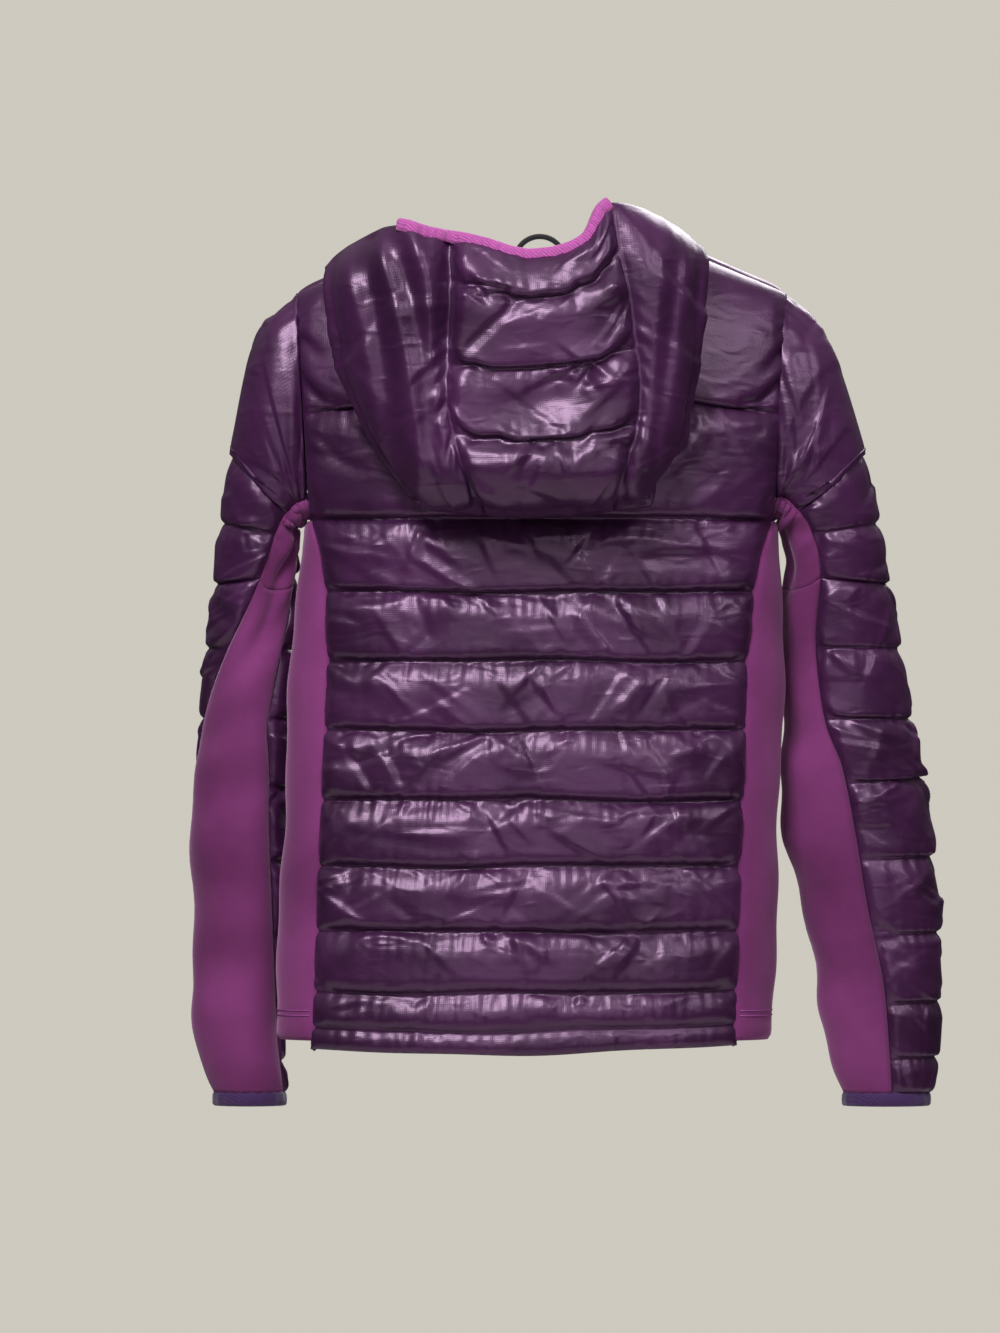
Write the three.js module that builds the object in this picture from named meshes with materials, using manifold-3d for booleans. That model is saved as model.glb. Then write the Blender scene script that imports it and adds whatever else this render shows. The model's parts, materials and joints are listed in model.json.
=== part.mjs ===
// Hooded hybrid down ski jacket, hanging from the loop inside its neck.
// Millimetres, +Z up, +Y towards the wearer's front, +X towards the wearer's right.
// The origin is the underside of the hanging loop, where a hook carries the jacket.
import * as THREE from "three";
import { mergeVertices } from "three/addons/utils/BufferGeometryUtils.js";
import Module from "manifold-3d";

const wasm = await Module();
wasm.setup();

// ---- driving dimensions ----
const bodyHalfWidth = 196; // widest half width of the body, at the hem
const bodyWaistIn = 8; // how much narrower the body is just under the arm
const shoulderSpread = 40; // how far the shoulder sheets widen past the underarm width
const hemHalfDepth = 76;
const chestHalfDepth = 60;
const bodySquareness = 2.4; // exponent of the body's superellipse section
const backPanelHalf = 170; // half width of the quilted back and front panels
const underarmZ = -221;
const underarmX = 187; // armhole seam, at its lowest point
const shoulderX = 197.6; // armhole seam, at the shoulder
const shoulderZ = -43;
const neckHalf = 95; // half width of the neck opening at the shoulder line
const shoulderRound = 170; // height over which the shoulders round over
const backNeckDrop = 22;
const frontNeckDrop = 85;
const collarHeight = 55;
const collarSideHeight = 16;
const collarLean = 0.15;
const hemDrift = -8; // the hem hangs this far to the left of the neck
const padThickness = 9; // quilted shell with its down
const puff = 2.4; // extra crown in the middle of each channel
const liningThickness = 1;
const stretchThickness = 2.4; // brushed stretch fabric
const seamGap = 0.35; // between pieces that are sewn edge to edge
const sleeveGap = 0.6; // between a sleeve and the armhole or the elbow seam
const tapeReach = 8.4; // zip tape, from the centre line
const teethReach = 3.1;
const slitHalf = 0.6; // half the slit between the two rows of teeth
const tapeThickness = 1.2;
const teethThickness = 2.6;
const pocketU = 0.62; // pocket zip's place across the front panel
const pocketRows = [3.1, 5.6];
const sliderRow = 8.7; // the front zip is done up to this row
const zipParting = 22;
const loopRadius = 20;
const loopCord = 2.2;
const loopLeg = 16;
const label = { width: 52, height: 20, thickness: 1.2, z: -18 };
const loopSetback = 36.2; // loop's distance behind the jacket's middle plane
const hoodReach = 62; // depth of the folded hood
const hoodBottomZ = -224;
const hoodPanelHalf = 76;
const hoodWall = 6;
const bindingWidth = 9.6;

// Heights of the quilting seams, from the hem up; the last is the chest seam at the underarm.
const hemZ = -648;
const channelHeights = [16, 34, 48, 52, 52, 56, 56, 56, 58];
const seamZ = channelHeights.reduce((rows, h) => [...rows, rows.at(-1) + h], [hemZ]);
const chestRow = seamZ.length - 1;
const topRow = chestRow + 2;
const yokeSeamRow = chestRow + 0.54;

const BACK = -1;
const FRONT = 1;
const clamp = THREE.MathUtils.clamp;
const lerp = THREE.MathUtils.lerp;
const range = (n) => Array.from({ length: n }, (_, i) => i);
const spread = (from, to, n) => range(n + 1).map((i) => lerp(from, to, i / n));

// ---- the body's surface ----
const shoulderSlope = -shoulderZ / (shoulderX - neckHalf);
const shoulderLine = (x) => shoulderSlope * (neckHalf - Math.abs(x));
const drift = (z) => hemDrift * clamp((z - underarmZ) / (hemZ - underarmZ), 0, 1);

function halfWidth(z) {
  if (z > underarmZ) {
    const rise = clamp((z - underarmZ) / (shoulderZ - underarmZ), 0, 1);
    return bodyHalfWidth - bodyWaistIn + shoulderSpread * Math.sqrt(rise);
  }
  const drop = clamp((underarmZ - z) / 180, 0, 1);
  return bodyHalfWidth - bodyWaistIn * (1 - drop);
}

function halfDepth(x, z) {
  const below = clamp((-shoulderRound - z) / (-shoulderRound - hemZ), 0, 1);
  const t = clamp((shoulderLine(x) - z) / shoulderRound, 0, 1);
  const across = Math.pow(1 - Math.pow(Math.min(1, Math.abs(x) / halfWidth(z)), bodySquareness), 1 / bodySquareness);
  return lerp(chestHalfDepth, hemHalfDepth, below) * across * Math.sqrt(1 - (1 - t) ** 2);
}

function topZ(side, x) {
  const drop = side === BACK ? backNeckDrop : frontNeckDrop;
  return Math.min(shoulderLine(x), -drop * (1 - Math.min(1, Math.abs(x) / neckHalf) ** 2));
}

function rowZ(side, x, v) {
  if (v <= chestRow) {
    const i = Math.min(Math.floor(v), chestRow - 1);
    return lerp(seamZ[i], seamZ[i + 1], v - i);
  }
  const turn = Math.min((v - chestRow) / (topRow - chestRow), 1);
  return lerp(seamZ[chestRow], topZ(side, x), Math.sin((turn * Math.PI) / 2));
}

const armholeX = (z) => lerp(underarmX, shoulderX, clamp((z - underarmZ) / (shoulderZ - underarmZ), 0, 1));

// Half width of the quilted panels at a row: straight below the arm, the armhole seam above it.
function panelEdge(side, v) {
  if (v >= chestRow) return armholeX(rowZ(side, underarmX, v));
  return lerp(backPanelHalf, underarmX, clamp(v - (chestRow - 1.5), 0, 1.5) ** 2 / 1.5 ** 2);
}

// u runs from -1 to 1 between the panel's side seams.
function sheetPoint(side, u, v) {
  const x = u * panelEdge(side, v);
  const z = rowZ(side, x, v);
  return new THREE.Vector3(x + drift(z), side * (halfDepth(x, z) + seamGap), z);
}

// The side of the body between the two quilted panels: a runs from -1 at the back seam to 1 at the front seam.
function sidePoint(hand, a, v) {
  const z = rowZ(BACK, 0, v);
  const w = halfWidth(z);
  const limit = Math.acos(Math.pow(panelEdge(BACK, v) / w, bodySquareness / 2));
  const angle = a * limit;
  const depth = halfDepth(0, z);
  const y = depth * Math.sign(angle) * Math.pow(Math.abs(Math.sin(angle)), 2 / bodySquareness);
  return new THREE.Vector3(hand * w * Math.pow(Math.cos(angle), 2 / bodySquareness) + drift(z), y, z);
}

// ---- closed sheets ----
// A closed slab between two offsets of the surface point(u, v), over the given lists of u and v.
// Offsets are measured along the surface's normal, which is u's direction crossed with v's.
function slab(point, us, vs, outer, inner, keepX = () => 1) {
  const nu = us.length;
  const nv = vs.length;
  const step = 1e-3;
  const vertices = [];
  for (const depthOf of [outer, inner])
    for (const v of vs)
      for (const u of us) {
        const du = (us.at(-1) - us[0]) * step;
        const dv = (vs.at(-1) - vs[0]) * step;
        const p = point(u, v);
        const alongU = point(u + du, v).sub(point(u - du, v));
        const vLow = Math.max(v - dv, Math.min(vs[0], vs.at(-1)));
        const vHigh = Math.min(v + dv, Math.max(vs[0], vs.at(-1)));
        const alongV = point(u, vHigh).sub(point(u, vLow)).multiplyScalar(Math.sign(vs.at(-1) - vs[0]));
        const normal = alongU.cross(alongV);
        normal.x *= keepX(v);
        normal.normalize();
        vertices.push(...p.addScaledVector(normal, depthOf(u, v)));
      }
  const faces = [];
  const at = (layer, i, j) => layer * nu * nv + j * nu + i;
  const quad = (a, b, c, d) => faces.push(a, b, c, a, c, d);
  for (const j of range(nv - 1))
    for (const i of range(nu - 1)) {
      quad(at(0, i, j), at(0, i + 1, j), at(0, i + 1, j + 1), at(0, i, j + 1));
      quad(at(1, i, j), at(1, i, j + 1), at(1, i + 1, j + 1), at(1, i + 1, j));
    }
  for (const i of range(nu - 1)) {
    quad(at(1, i, 0), at(1, i + 1, 0), at(0, i + 1, 0), at(0, i, 0));
    quad(at(0, i, nv - 1), at(0, i + 1, nv - 1), at(1, i + 1, nv - 1), at(1, i, nv - 1));
  }
  for (const j of range(nv - 1)) {
    quad(at(0, 0, j), at(0, 0, j + 1), at(1, 0, j + 1), at(1, 0, j));
    quad(at(1, nu - 1, j), at(1, nu - 1, j + 1), at(0, nu - 1, j + 1), at(0, nu - 1, j));
  }
  const geometry = new THREE.BufferGeometry();
  geometry.setAttribute("position", new THREE.Float32BufferAttribute(vertices, 3));
  geometry.setIndex(faces);
  return outward(geometry);
}

// Turns a closed geometry's faces outwards.
function outward(geometry) {
  const p = geometry.attributes.position;
  const index = geometry.index.array;
  let volume = 0;
  const [a, b, c] = [new THREE.Vector3(), new THREE.Vector3(), new THREE.Vector3()];
  for (let i = 0; i < index.length; i += 3) {
    a.fromBufferAttribute(p, index[i]);
    b.fromBufferAttribute(p, index[i + 1]);
    c.fromBufferAttribute(p, index[i + 2]);
    volume += a.dot(b.cross(c));
  }
  if (volume < 0)
    for (let i = 0; i < index.length; i += 3) [index[i + 1], index[i + 2]] = [index[i + 2], index[i + 1]];
  return geometry;
}

// ---- booleans ----
function toSolid(geometry) {
  const bare = geometry.clone();
  for (const name of Object.keys(bare.attributes)) if (name !== "position") bare.deleteAttribute(name);
  const merged = mergeVertices(bare, 1e-4);
  return new wasm.Manifold(
    new wasm.Mesh({
      numProp: 3,
      vertProperties: merged.attributes.position.array,
      triVerts: new Uint32Array(merged.index.array),
    }),
  );
}

function fromSolid(solid) {
  const mesh = solid.getMesh();
  const geometry = new THREE.BufferGeometry();
  geometry.setAttribute("position", new THREE.BufferAttribute(Float32Array.from(mesh.vertProperties), 3));
  geometry.setIndex(new THREE.BufferAttribute(Uint32Array.from(mesh.triVerts), 1));
  return geometry;
}

const cut = (geometry, ...tools) => fromSolid(tools.reduce((s, t) => s.subtract(toSolid(t)), toSolid(geometry)));
const join = (geometry, ...more) => fromSolid(more.reduce((s, t) => s.add(toSolid(t)), toSolid(geometry)));
const box = (w, d, h, x = 0, y = 0, z = 0) => new THREE.BoxGeometry(w, d, h).translate(x, y, z);

// ---- materials ----
const finish = (color, roughness, metalness = 0) => new THREE.MeshStandardMaterial({ color, roughness, metalness });
const shellMaterial = finish(0x4c2357, 0.35);
const stretchMaterial = finish(0x8c3d85, 0.9);
const liningMaterial = finish(0x3a1a44, 0.5);
const pinkBindingMaterial = finish(0xc95fbd, 0.85);
const cuffBindingMaterial = finish(0x4b2770, 0.8);
const zipMaterial = finish(0x2a1433, 0.6);
const metalMaterial = finish(0x55505a, 0.35, 1);
const cordMaterial = finish(0x161216, 0.8);
const labelMaterial = finish(0xe8e6e2, 0.9);

const jacket = new THREE.Group();
jacket.position.y = loopSetback;

function add(parent, name, geometry, material) {
  const mesh = new THREE.Mesh(geometry, material);
  mesh.name = name;
  parent.add(mesh);
  return mesh;
}

const HANDS = [
  ["left", -1],
  ["right", 1],
];

// ---- quilted panels ----
// The crown of a channel: highest halfway between two seams.
function crown(v, seams) {
  const i = seams.findIndex((s) => v <= s + 1e-6);
  if (i <= 0) return 0;
  return puff * Math.sin((Math.PI * (v - seams[i - 1])) / (seams[i] - seams[i - 1]));
}

const bodySeams = [...range(chestRow + 1), yokeSeamRow, topRow];
const yokeRows = spread(chestRow, topRow, 7).slice(1);
const bodyRows = [...spread(0, chestRow, chestRow * 2), ...yokeRows];
const plainRows = chestRow - 2; // rows up to here are straight enough for a coarse lining
const liningRows = [0.5, ...spread(1, plainRows, plainRows - 1), ...spread(plainRows, chestRow, 4).slice(1), ...yokeRows.slice(0, -1)];
// Above the underarm the panels are offset without leaving their armhole seam.
const keepSeam = (v) => clamp(chestRow - v, 0, 1);
const padOut = (v) => padThickness / 2 + crown(v, bodySeams);

function addBack() {
  const inset = 1 - seamGap / backPanelHalf;
  const columns = spread(-inset, inset, 12);
  const panel = slab(
    (u, v) => sheetPoint(BACK, u, v),
    columns,
    bodyRows,
    (u, v) => padOut(v),
    () => -padThickness / 2,
    keepSeam,
  );
  add(jacket, "back_panel", panel, shellMaterial);
  const liningDepth = padThickness / 2 + seamGap;
  const lining = slab(
    (u, v) => sheetPoint(BACK, u, v),
    columns.slice(1, -1),
    liningRows,
    () => -liningDepth,
    () => -liningDepth - liningThickness,
    keepSeam,
  );
  add(jacket, "back_lining", lining, liningMaterial);
}

// u across one front panel: 0 at the zip, 1 at the side seam.
function frontPoint(hand, u, v) {
  const start = (tapeReach + seamGap + parting(v)) / panelEdge(FRONT, v);
  return sheetPoint(FRONT, hand * lerp(start, 1, u), v);
}

// How far each half of the front stands from the centre line above the zip's slider.
function parting(v) {
  return zipParting * clamp((v - sliderRow - 0.3) / (topRow - sliderRow), 0, 1) ** 2;
}

// A straight zip's place: across is measured from its centre line, on the front panel at pocketU.
function pocketPoint(hand, across, v) {
  return frontPoint(hand, pocketU + across / (panelEdge(FRONT, v) - tapeReach), v);
}

function addFront(hand, side) {
  const columns = spread(0, 1 - seamGap / backPanelHalf, 7);
  const pocketHole = slab(
    (a, v) => pocketPoint(side, a, v),
    spread(-tapeReach - seamGap, tapeReach + seamGap, 2),
    spread(pocketRows[0] - 0.1, pocketRows[1] + 0.1, 5),
    () => padThickness,
    () => -padThickness,
  );
  const panel = slab(
    (u, v) => frontPoint(side, u, v),
    columns,
    bodyRows,
    (u, v) => -side * padOut(v),
    () => (side * padThickness) / 2,
    keepSeam,
  );
  add(jacket, `front_panel_${hand}`, cut(panel, pocketHole), shellMaterial);
  const liningDepth = padThickness / 2 + seamGap;
  const lining = slab(
    (u, v) => frontPoint(side, u, v),
    columns.slice(1, -1),
    liningRows,
    () => side * liningDepth,
    () => side * (liningDepth + liningThickness),
    keepSeam,
  );
  add(jacket, `front_lining_${hand}`, lining, liningMaterial);
  const bagDepth = liningDepth + liningThickness + seamGap;
  const bag = slab(
    (u, v) => frontPoint(side, u, v),
    columns.slice(2, -2),
    spread(1, 6, 5),
    () => side * bagDepth,
    () => side * (bagDepth + 3),
  );
  add(jacket, `pocket_bag_${hand}`, bag, liningMaterial);
}

function addSidePanel(hand, side) {
  const rows = [...spread(0.12, chestRow - 1, 8), chestRow - 0.6, chestRow - 0.32];
  const panel = slab(
    (a, v) => sidePoint(side, a, v),
    spread(-0.985, 0.985, 5),
    rows,
    () => side * stretchThickness,
    () => -side * 0.4,
  );
  add(jacket, `side_panel_${hand}`, panel, stretchMaterial);
}

// ---- collar ----
// The collar stands on the front neck seam and runs out towards the shoulders.
function collarPoint(x, share) {
  const z = topZ(FRONT, x);
  const height = share * lerp(collarHeight, collarSideHeight, (x / neckHalf) ** 2);
  return new THREE.Vector3(x, halfDepth(x, z) + seamGap - collarLean * height, z + height);
}

const collarStart = (padThickness / 2 + 1.2) / collarHeight;

function addCollar(hand, side) {
  const collar = slab(
    (u, v) => collarPoint(side * lerp(tapeReach + seamGap + zipParting, neckHalf - 9, u), v),
    spread(0, 1, 7),
    spread(collarStart, 1, 2),
    () => (-side * hoodWall) / 2,
    () => (side * hoodWall) / 2,
  );
  add(jacket, `collar_${hand}`, collar, shellMaterial);
}

// ---- zips ----
const zipRows = [...spread(0.35, chestRow, 10), ...yokeRows, topRow + 0.45, topRow + 0.9];

// x is measured from the zip's centre line, before the two halves part.
function zipPoint(x, v) {
  const shifted = x + Math.sign(x) * parting(Math.min(v, topRow));
  if (v > topRow) return collarPoint(shifted, v - topRow);
  return sheetPoint(FRONT, shifted / panelEdge(FRONT, v), v);
}

function addZipHalf(parent, name, side, point, rows) {
  const tape = slab(
    (x, v) => point(side * x, v),
    [teethReach + 0.3, tapeReach],
    rows,
    () => (tapeThickness / 2) * side,
    () => (-tapeThickness / 2) * side,
  );
  add(parent, `${name}_tape`, tape, zipMaterial);
  const teeth = slab(
    (x, v) => point(side * x, v),
    [slitHalf, teethReach],
    rows,
    () => (teethThickness / 2) * side,
    () => (-teethThickness / 2) * side,
  );
  add(parent, `${name}_teeth`, teeth, zipMaterial);
}

// A slider that rides the teeth: two plates joined by a thin post in the slit, with ears for the pull.
// Its own frame has +Z along the zip and +Y out of the garment.
const slider = { width: 9.4, length: 12, plate: 1.4, ear: 1.1, earHeight: 3.2, pullWidth: 5, pullLength: 24 };
const plateY = teethThickness / 2 + 0.3 + slider.plate / 2;
const pivotY = plateY + slider.plate / 2 + slider.earHeight - 1.2;

function sliderGeometry() {
  const front = box(slider.width, slider.plate, slider.length, 0, plateY);
  const rear = box(slider.width, slider.plate, slider.length, 0, -plateY);
  const post = box((slitHalf - 0.2) * 2, plateY * 2, slider.length * 0.5);
  const earX = slider.pullWidth / 2 + 0.35 + slider.ear / 2;
  const earY = plateY + slider.earHeight / 2;
  const ears = [-earX, earX].map((x) => box(slider.ear, slider.earHeight, 5, x, earY));
  const pin = new THREE.CylinderGeometry(0.6, 0.6, 2 * earX, 8).rotateZ(Math.PI / 2).translate(0, pivotY, 0);
  return join(front, rear, post, ...ears, pin);
}

function pullGeometry() {
  const { pullWidth, pullLength } = slider;
  const outline = new THREE.Shape();
  outline.moveTo(-pullWidth / 2, 1.6);
  outline.lineTo(-pullWidth / 2, -pullLength + 2);
  outline.quadraticCurveTo(0, -pullLength - 1, pullWidth / 2, -pullLength + 2);
  outline.lineTo(pullWidth / 2, 1.6);
  const plate = new THREE.ExtrudeGeometry(outline, { depth: 1.6, bevelEnabled: false, curveSegments: 4 });
  plate.rotateX(Math.PI / 2).translate(0, pivotY + 0.8, 0);
  const bore = new THREE.CylinderGeometry(1.0, 1.0, pullWidth + 2, 10).rotateZ(Math.PI / 2).translate(0, pivotY, 0);
  const knuckle = new THREE.CylinderGeometry(1.7, 1.7, pullWidth, 12).rotateZ(Math.PI / 2).translate(0, pivotY, 0);
  return cut(join(plate, knuckle), bore);
}

// Puts a slider and its pull on a zip at row v. point(0, v) is the zip's centre line.
function addSlider(parent, name, point, v) {
  const holder = new THREE.Group();
  const here = point(0, v);
  const along = point(0, v + 0.05).sub(point(0, v - 0.05)).normalize();
  const across = point(1, v).sub(point(-1, v)).normalize();
  const out = along.clone().cross(across).normalize();
  if (out.y < 0) out.negate();
  const right = out.clone().cross(along).normalize();
  holder.matrixAutoUpdate = false;
  holder.matrix.makeBasis(right, out, along).setPosition(here);
  parent.add(holder);
  add(holder, `${name}_slider`, sliderGeometry(), metalMaterial);
  add(holder, `${name}_pull`, pullGeometry(), metalMaterial);
}

function addZips() {
  for (const [hand, side] of HANDS) {
    addZipHalf(jacket, `front_zip_${hand}`, side, zipPoint, zipRows);
    const point = (x, v) => pocketPoint(side, x, v);
    const rows = spread(...pocketRows, 4);
    addPocketZip(hand, side, point, rows);
    addSlider(jacket, `pocket_zip_${hand}`, point, pocketRows[1] - 0.3);
  }
  addSlider(jacket, "front_zip", zipPoint, sliderRow);
  addZipEnd();
}

function addPocketZip(hand, side, point, rows) {
  const reach = (from, to, thickness) =>
    slab(
      point,
      [from, to],
      rows,
      () => side * (thickness / 2),
      () => -side * (thickness / 2),
    );
  const inner = reach(-tapeReach, -slitHalf, tapeThickness);
  const outer = reach(slitHalf, tapeReach, tapeThickness);
  add(jacket, `pocket_zip_${hand}_inner_tape`, inner, zipMaterial);
  add(jacket, `pocket_zip_${hand}_outer_tape`, outer, zipMaterial);
}

// The retainer box at the foot of the front zip.
function addZipEnd() {
  const foot = zipPoint(0, zipRows[0]);
  const height = 6;
  const retainer = box(tapeReach * 1.3, teethThickness + 2, height, foot.x, foot.y, foot.z - height / 2 - 0.6);
  add(jacket, "front_zip_retainer_box", retainer, metalMaterial);
}

// ---- sleeves ----
// Each station: the underarm point and the outer point of one cross-section, in x and z, then its middle
// and half depth in y, and the two edges of the stretch panel in degrees around the section.
const SLEEVES = {
  right: {
    side: 1,
    stations: [
      [underarmX, underarmZ, shoulderX, shoulderZ, 0, 33, -150, -215],
      [190, -224, 228, -78, 3, 35, -140, -215],
      [194, -228, 254, -150, 9, 37, -130, -215],
      [198, -237, 270, -216, 17, 38, -118, -218],
      [200, -262, 279, -268, 24, 38, -108, -220],
      [200, -325, 290, -325, 31, 38, -118, -220],
      [200, -385, 299, -385, 33, 38, -112, -220],
      [200, -426, 306, -417, 34, 38, -100, -220],
      [203, -480, 314, -475, 35, 37, -94, -220],
      [214, -540, 321, -537, 36, 36, -93, -220],
      [230, -600, 323, -595, 37, 33, -89, -220],
      [236, -650, 322, -645, 38, 30, -86, -220],
      [246, -688, 316, -688, 38, 26, -84, -220],
    ],
  },
  left: {
    side: -1,
    stations: [
      [underarmX, underarmZ, shoulderX, shoulderZ, 0, 33, -150, -215],
      [190, -224, 226, -80, 3, 35, -145, -205],
      [194, -228, 243, -150, 9, 36, -135, -200],
      [198, -237, 254, -216, 17, 36, -122, -192],
      [200, -262, 260, -268, 25, 36, -103, -175],
      [200, -325, 268, -325, 33, 36, -62, -140],
      [201, -385, 273, -385, 36, 35, -26, -120],
      [203, -426, 276, -417, 38, 35, -14, -125],
      [206, -480, 279, -475, 40, 34, -12, -132],
      [208, -540, 279, -537, 41, 33, -12, -142],
      [209, -600, 278, -595, 42, 31, -12, -152],
      [209, -650, 276, -645, 42, 29, -12, -160],
      [206, -688, 264, -688, 42, 26, -12, -165],
    ],
  },
};
const elbowStation = 6;
const cuffStation = 12;
const cuffDrop = 11;

function station(sleeve, t) {
  const list = sleeve.stations;
  const i = clamp(Math.floor(t), 0, list.length - 2);
  const f = t - i;
  const at = (k) => list[clamp(k, 0, list.length - 1)];
  return list[i].map((_, k) => {
    const [a, b, c, d] = [at(i - 1)[k], at(i)[k], at(i + 1)[k], at(i + 2)[k]];
    const m0 = i === 0 ? b - 0 * a + (c - b) - b : (c - a) / 2;
    const m1 = i === list.length - 2 ? c - b : (d - b) / 2;
    const start = i === 0 ? c - b : m0;
    return (
      b * (1 + 2 * f) * (1 - f) ** 2 +
      start * f * (1 - f) ** 2 +
      c * f ** 2 * (3 - 2 * f) +
      m1 * f ** 2 * (f - 1)
    );
  });
}

// A point on the sleeve, grown outwards in its own section by off.
function sleevePoint(sleeve, t, degrees, off) {
  const [inX, inZ, outX, outZ, y, halfY] = station(sleeve, t);
  const angle = THREE.MathUtils.degToRad(degrees);
  const halfLength = Math.hypot(outX - inX, outZ - inZ) / 2;
  const c = (Math.cos(angle) * (halfLength + off)) / halfLength;
  return new THREE.Vector3(
    sleeve.side * ((inX + outX) / 2 + ((outX - inX) / 2) * c),
    y + Math.sin(angle) * (halfY + off),
    (inZ + outZ) / 2 + ((outZ - inZ) / 2) * c,
  );
}

// Part of a sleeve's wall, from one share of the way round between two edges to another, and from station to station.
function sleeveWall(sleeve, edges, ts, nAround, outer, inner) {
  const point = (layer) => (f, t) => {
    const [from, to] = edges(t);
    return sleevePoint(sleeve, t, lerp(from, to, f), layer(t));
  };
  return shellBetween(point(outer), point(inner), spread(0, 1, nAround), ts);
}

// A closed solid between two surfaces that share their u and v.
function shellBetween(outerPoint, innerPoint, us, vs) {
  const middle = (u, v) => outerPoint(u, v).add(innerPoint(u, v)).multiplyScalar(0.5);
  const grid = slab(middle, us, vs, () => 0, () => 0);
  const positions = [outerPoint, innerPoint].flatMap((f) => vs.flatMap((v) => us.flatMap((u) => [...f(u, v)])));
  grid.setAttribute("position", new THREE.Float32BufferAttribute(positions, 3));
  return outward(grid);
}

// Quilting seams down the sleeve, as stations.
const sleeveSeams = [0, 2.3, 3.2, 4.15, 5.05, elbowStation, 7.3, 8.35, 9.35, 10.35, 11.3, cuffStation];
const edgeInset = 1.1; // degrees left open at the seams between a sleeve's two panels

function addSleeve(hand) {
  const sleeve = SLEEVES[hand];
  const quilt = (t) => {
    const s = station(sleeve, t);
    return [s[7] + 360 - edgeInset, s[6] + edgeInset];
  };
  const stretch = (t) => {
    const s = station(sleeve, t);
    return [s[6] - edgeInset, s[7] + edgeInset];
  };
  const start = sleeveGap / 40;
  const elbowGap = sleeveGap / 80;
  const quiltOut = (t) => padThickness / 2 + crown(t, sleeveSeams);
  const padIn = () => -padThickness / 2;
  const stretchOut = () => stretchThickness / 2;
  const stretchIn = () => -stretchThickness / 2;
  const upperRows = [start, ...spread(0.5, 5.5, 10), elbowStation - elbowGap];
  const lowerRows = [elbowStation + elbowGap, ...spread(6.5, 11.5, 10), cuffStation];
  for (const [part, rows] of [
    ["upper", upperRows],
    ["lower", lowerRows],
  ]) {
    const quilted = sleeveWall(sleeve, quilt, rows, 10, quiltOut, padIn);
    add(jacket, `${part}_sleeve_${hand}_quilted`, quilted, shellMaterial);
    const under = sleeveWall(sleeve, stretch, rows, 6, stretchOut, stretchIn);
    add(jacket, `${part}_sleeve_${hand}_stretch`, under, stretchMaterial);
  }
  addCuff(sleeve, hand);
}

// The bound edge of the cuff: a closed ring that hangs below the sleeve's end.
function addCuff(sleeve, hand) {
  const ring = (radiusOff, drop) =>
    range(20).map((i) => {
      const p = sleevePoint(sleeve, cuffStation, (i * 360) / 20, radiusOff);
      p.z -= drop;
      return p;
    });
  const loops = [ring(1.5, seamGap), ring(1.5, cuffDrop), ring(-1.5, cuffDrop), ring(-1.5, seamGap)];
  add(jacket, `cuff_binding_${hand}`, ringSolid(loops), cuffBindingMaterial);
}

// A closed ring from loops of points: each loop runs round the ring, and the loops follow each other round its section.
function ringSolid(loops) {
  const count = loops[0].length;
  const vertices = loops.flat().flatMap((p) => [...p]);
  const faces = [];
  for (const k of range(loops.length))
    for (const i of range(count)) {
      const [a, b] = [k * count + i, k * count + ((i + 1) % count)];
      const next = ((k + 1) % loops.length) * count;
      const [c, d] = [next + ((i + 1) % count), next + i];
      faces.push(a, b, c, a, c, d);
    }
  const geometry = new THREE.BufferGeometry();
  geometry.setAttribute("position", new THREE.Float32BufferAttribute(vertices, 3));
  geometry.setIndex(faces);
  return outward(geometry);
}

// ---- hood, folded down over the back ----
const hoodTopZ = -backNeckDrop;
const hoodRimZ = { middle: -12, end: 14 };
const hoodClearance = 2.6; // between the folded hood and the back panel
const hoodInnerY = -(chestHalfDepth + padThickness / 2 + puff + hoodWall / 2 + hoodClearance);
const hoodLobes = { left: 168, right: 130 };

// Share of the way down from the neck to the bottom fold.
const hoodDown = (z) => clamp((hoodTopZ - z) / (hoodTopZ - hoodBottomZ), 0, 1);
const hoodDepth = (z) => hoodReach * Math.sqrt(1 - hoodDown(z) ** 5) + hoodWall + 1;
// Near the neck the layer that lies on the back leans in to the neck seam.
const hoodLeanIn = 16.8;
const hoodBackY = (z) => hoodInnerY + hoodLeanIn * Math.max(0, 1 - (hoodTopZ - z) / 60) ** 2;
const lobeReach = (side, z) => {
  const widest = side < 0 ? hoodLobes.left : hoodLobes.right;
  return lerp(widest, 92, hoodDown(z) ** 2.2);
};

function hoodOuterY(z) {
  return hoodBackY(Math.min(z, hoodTopZ)) - hoodDepth(z);
}

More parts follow.
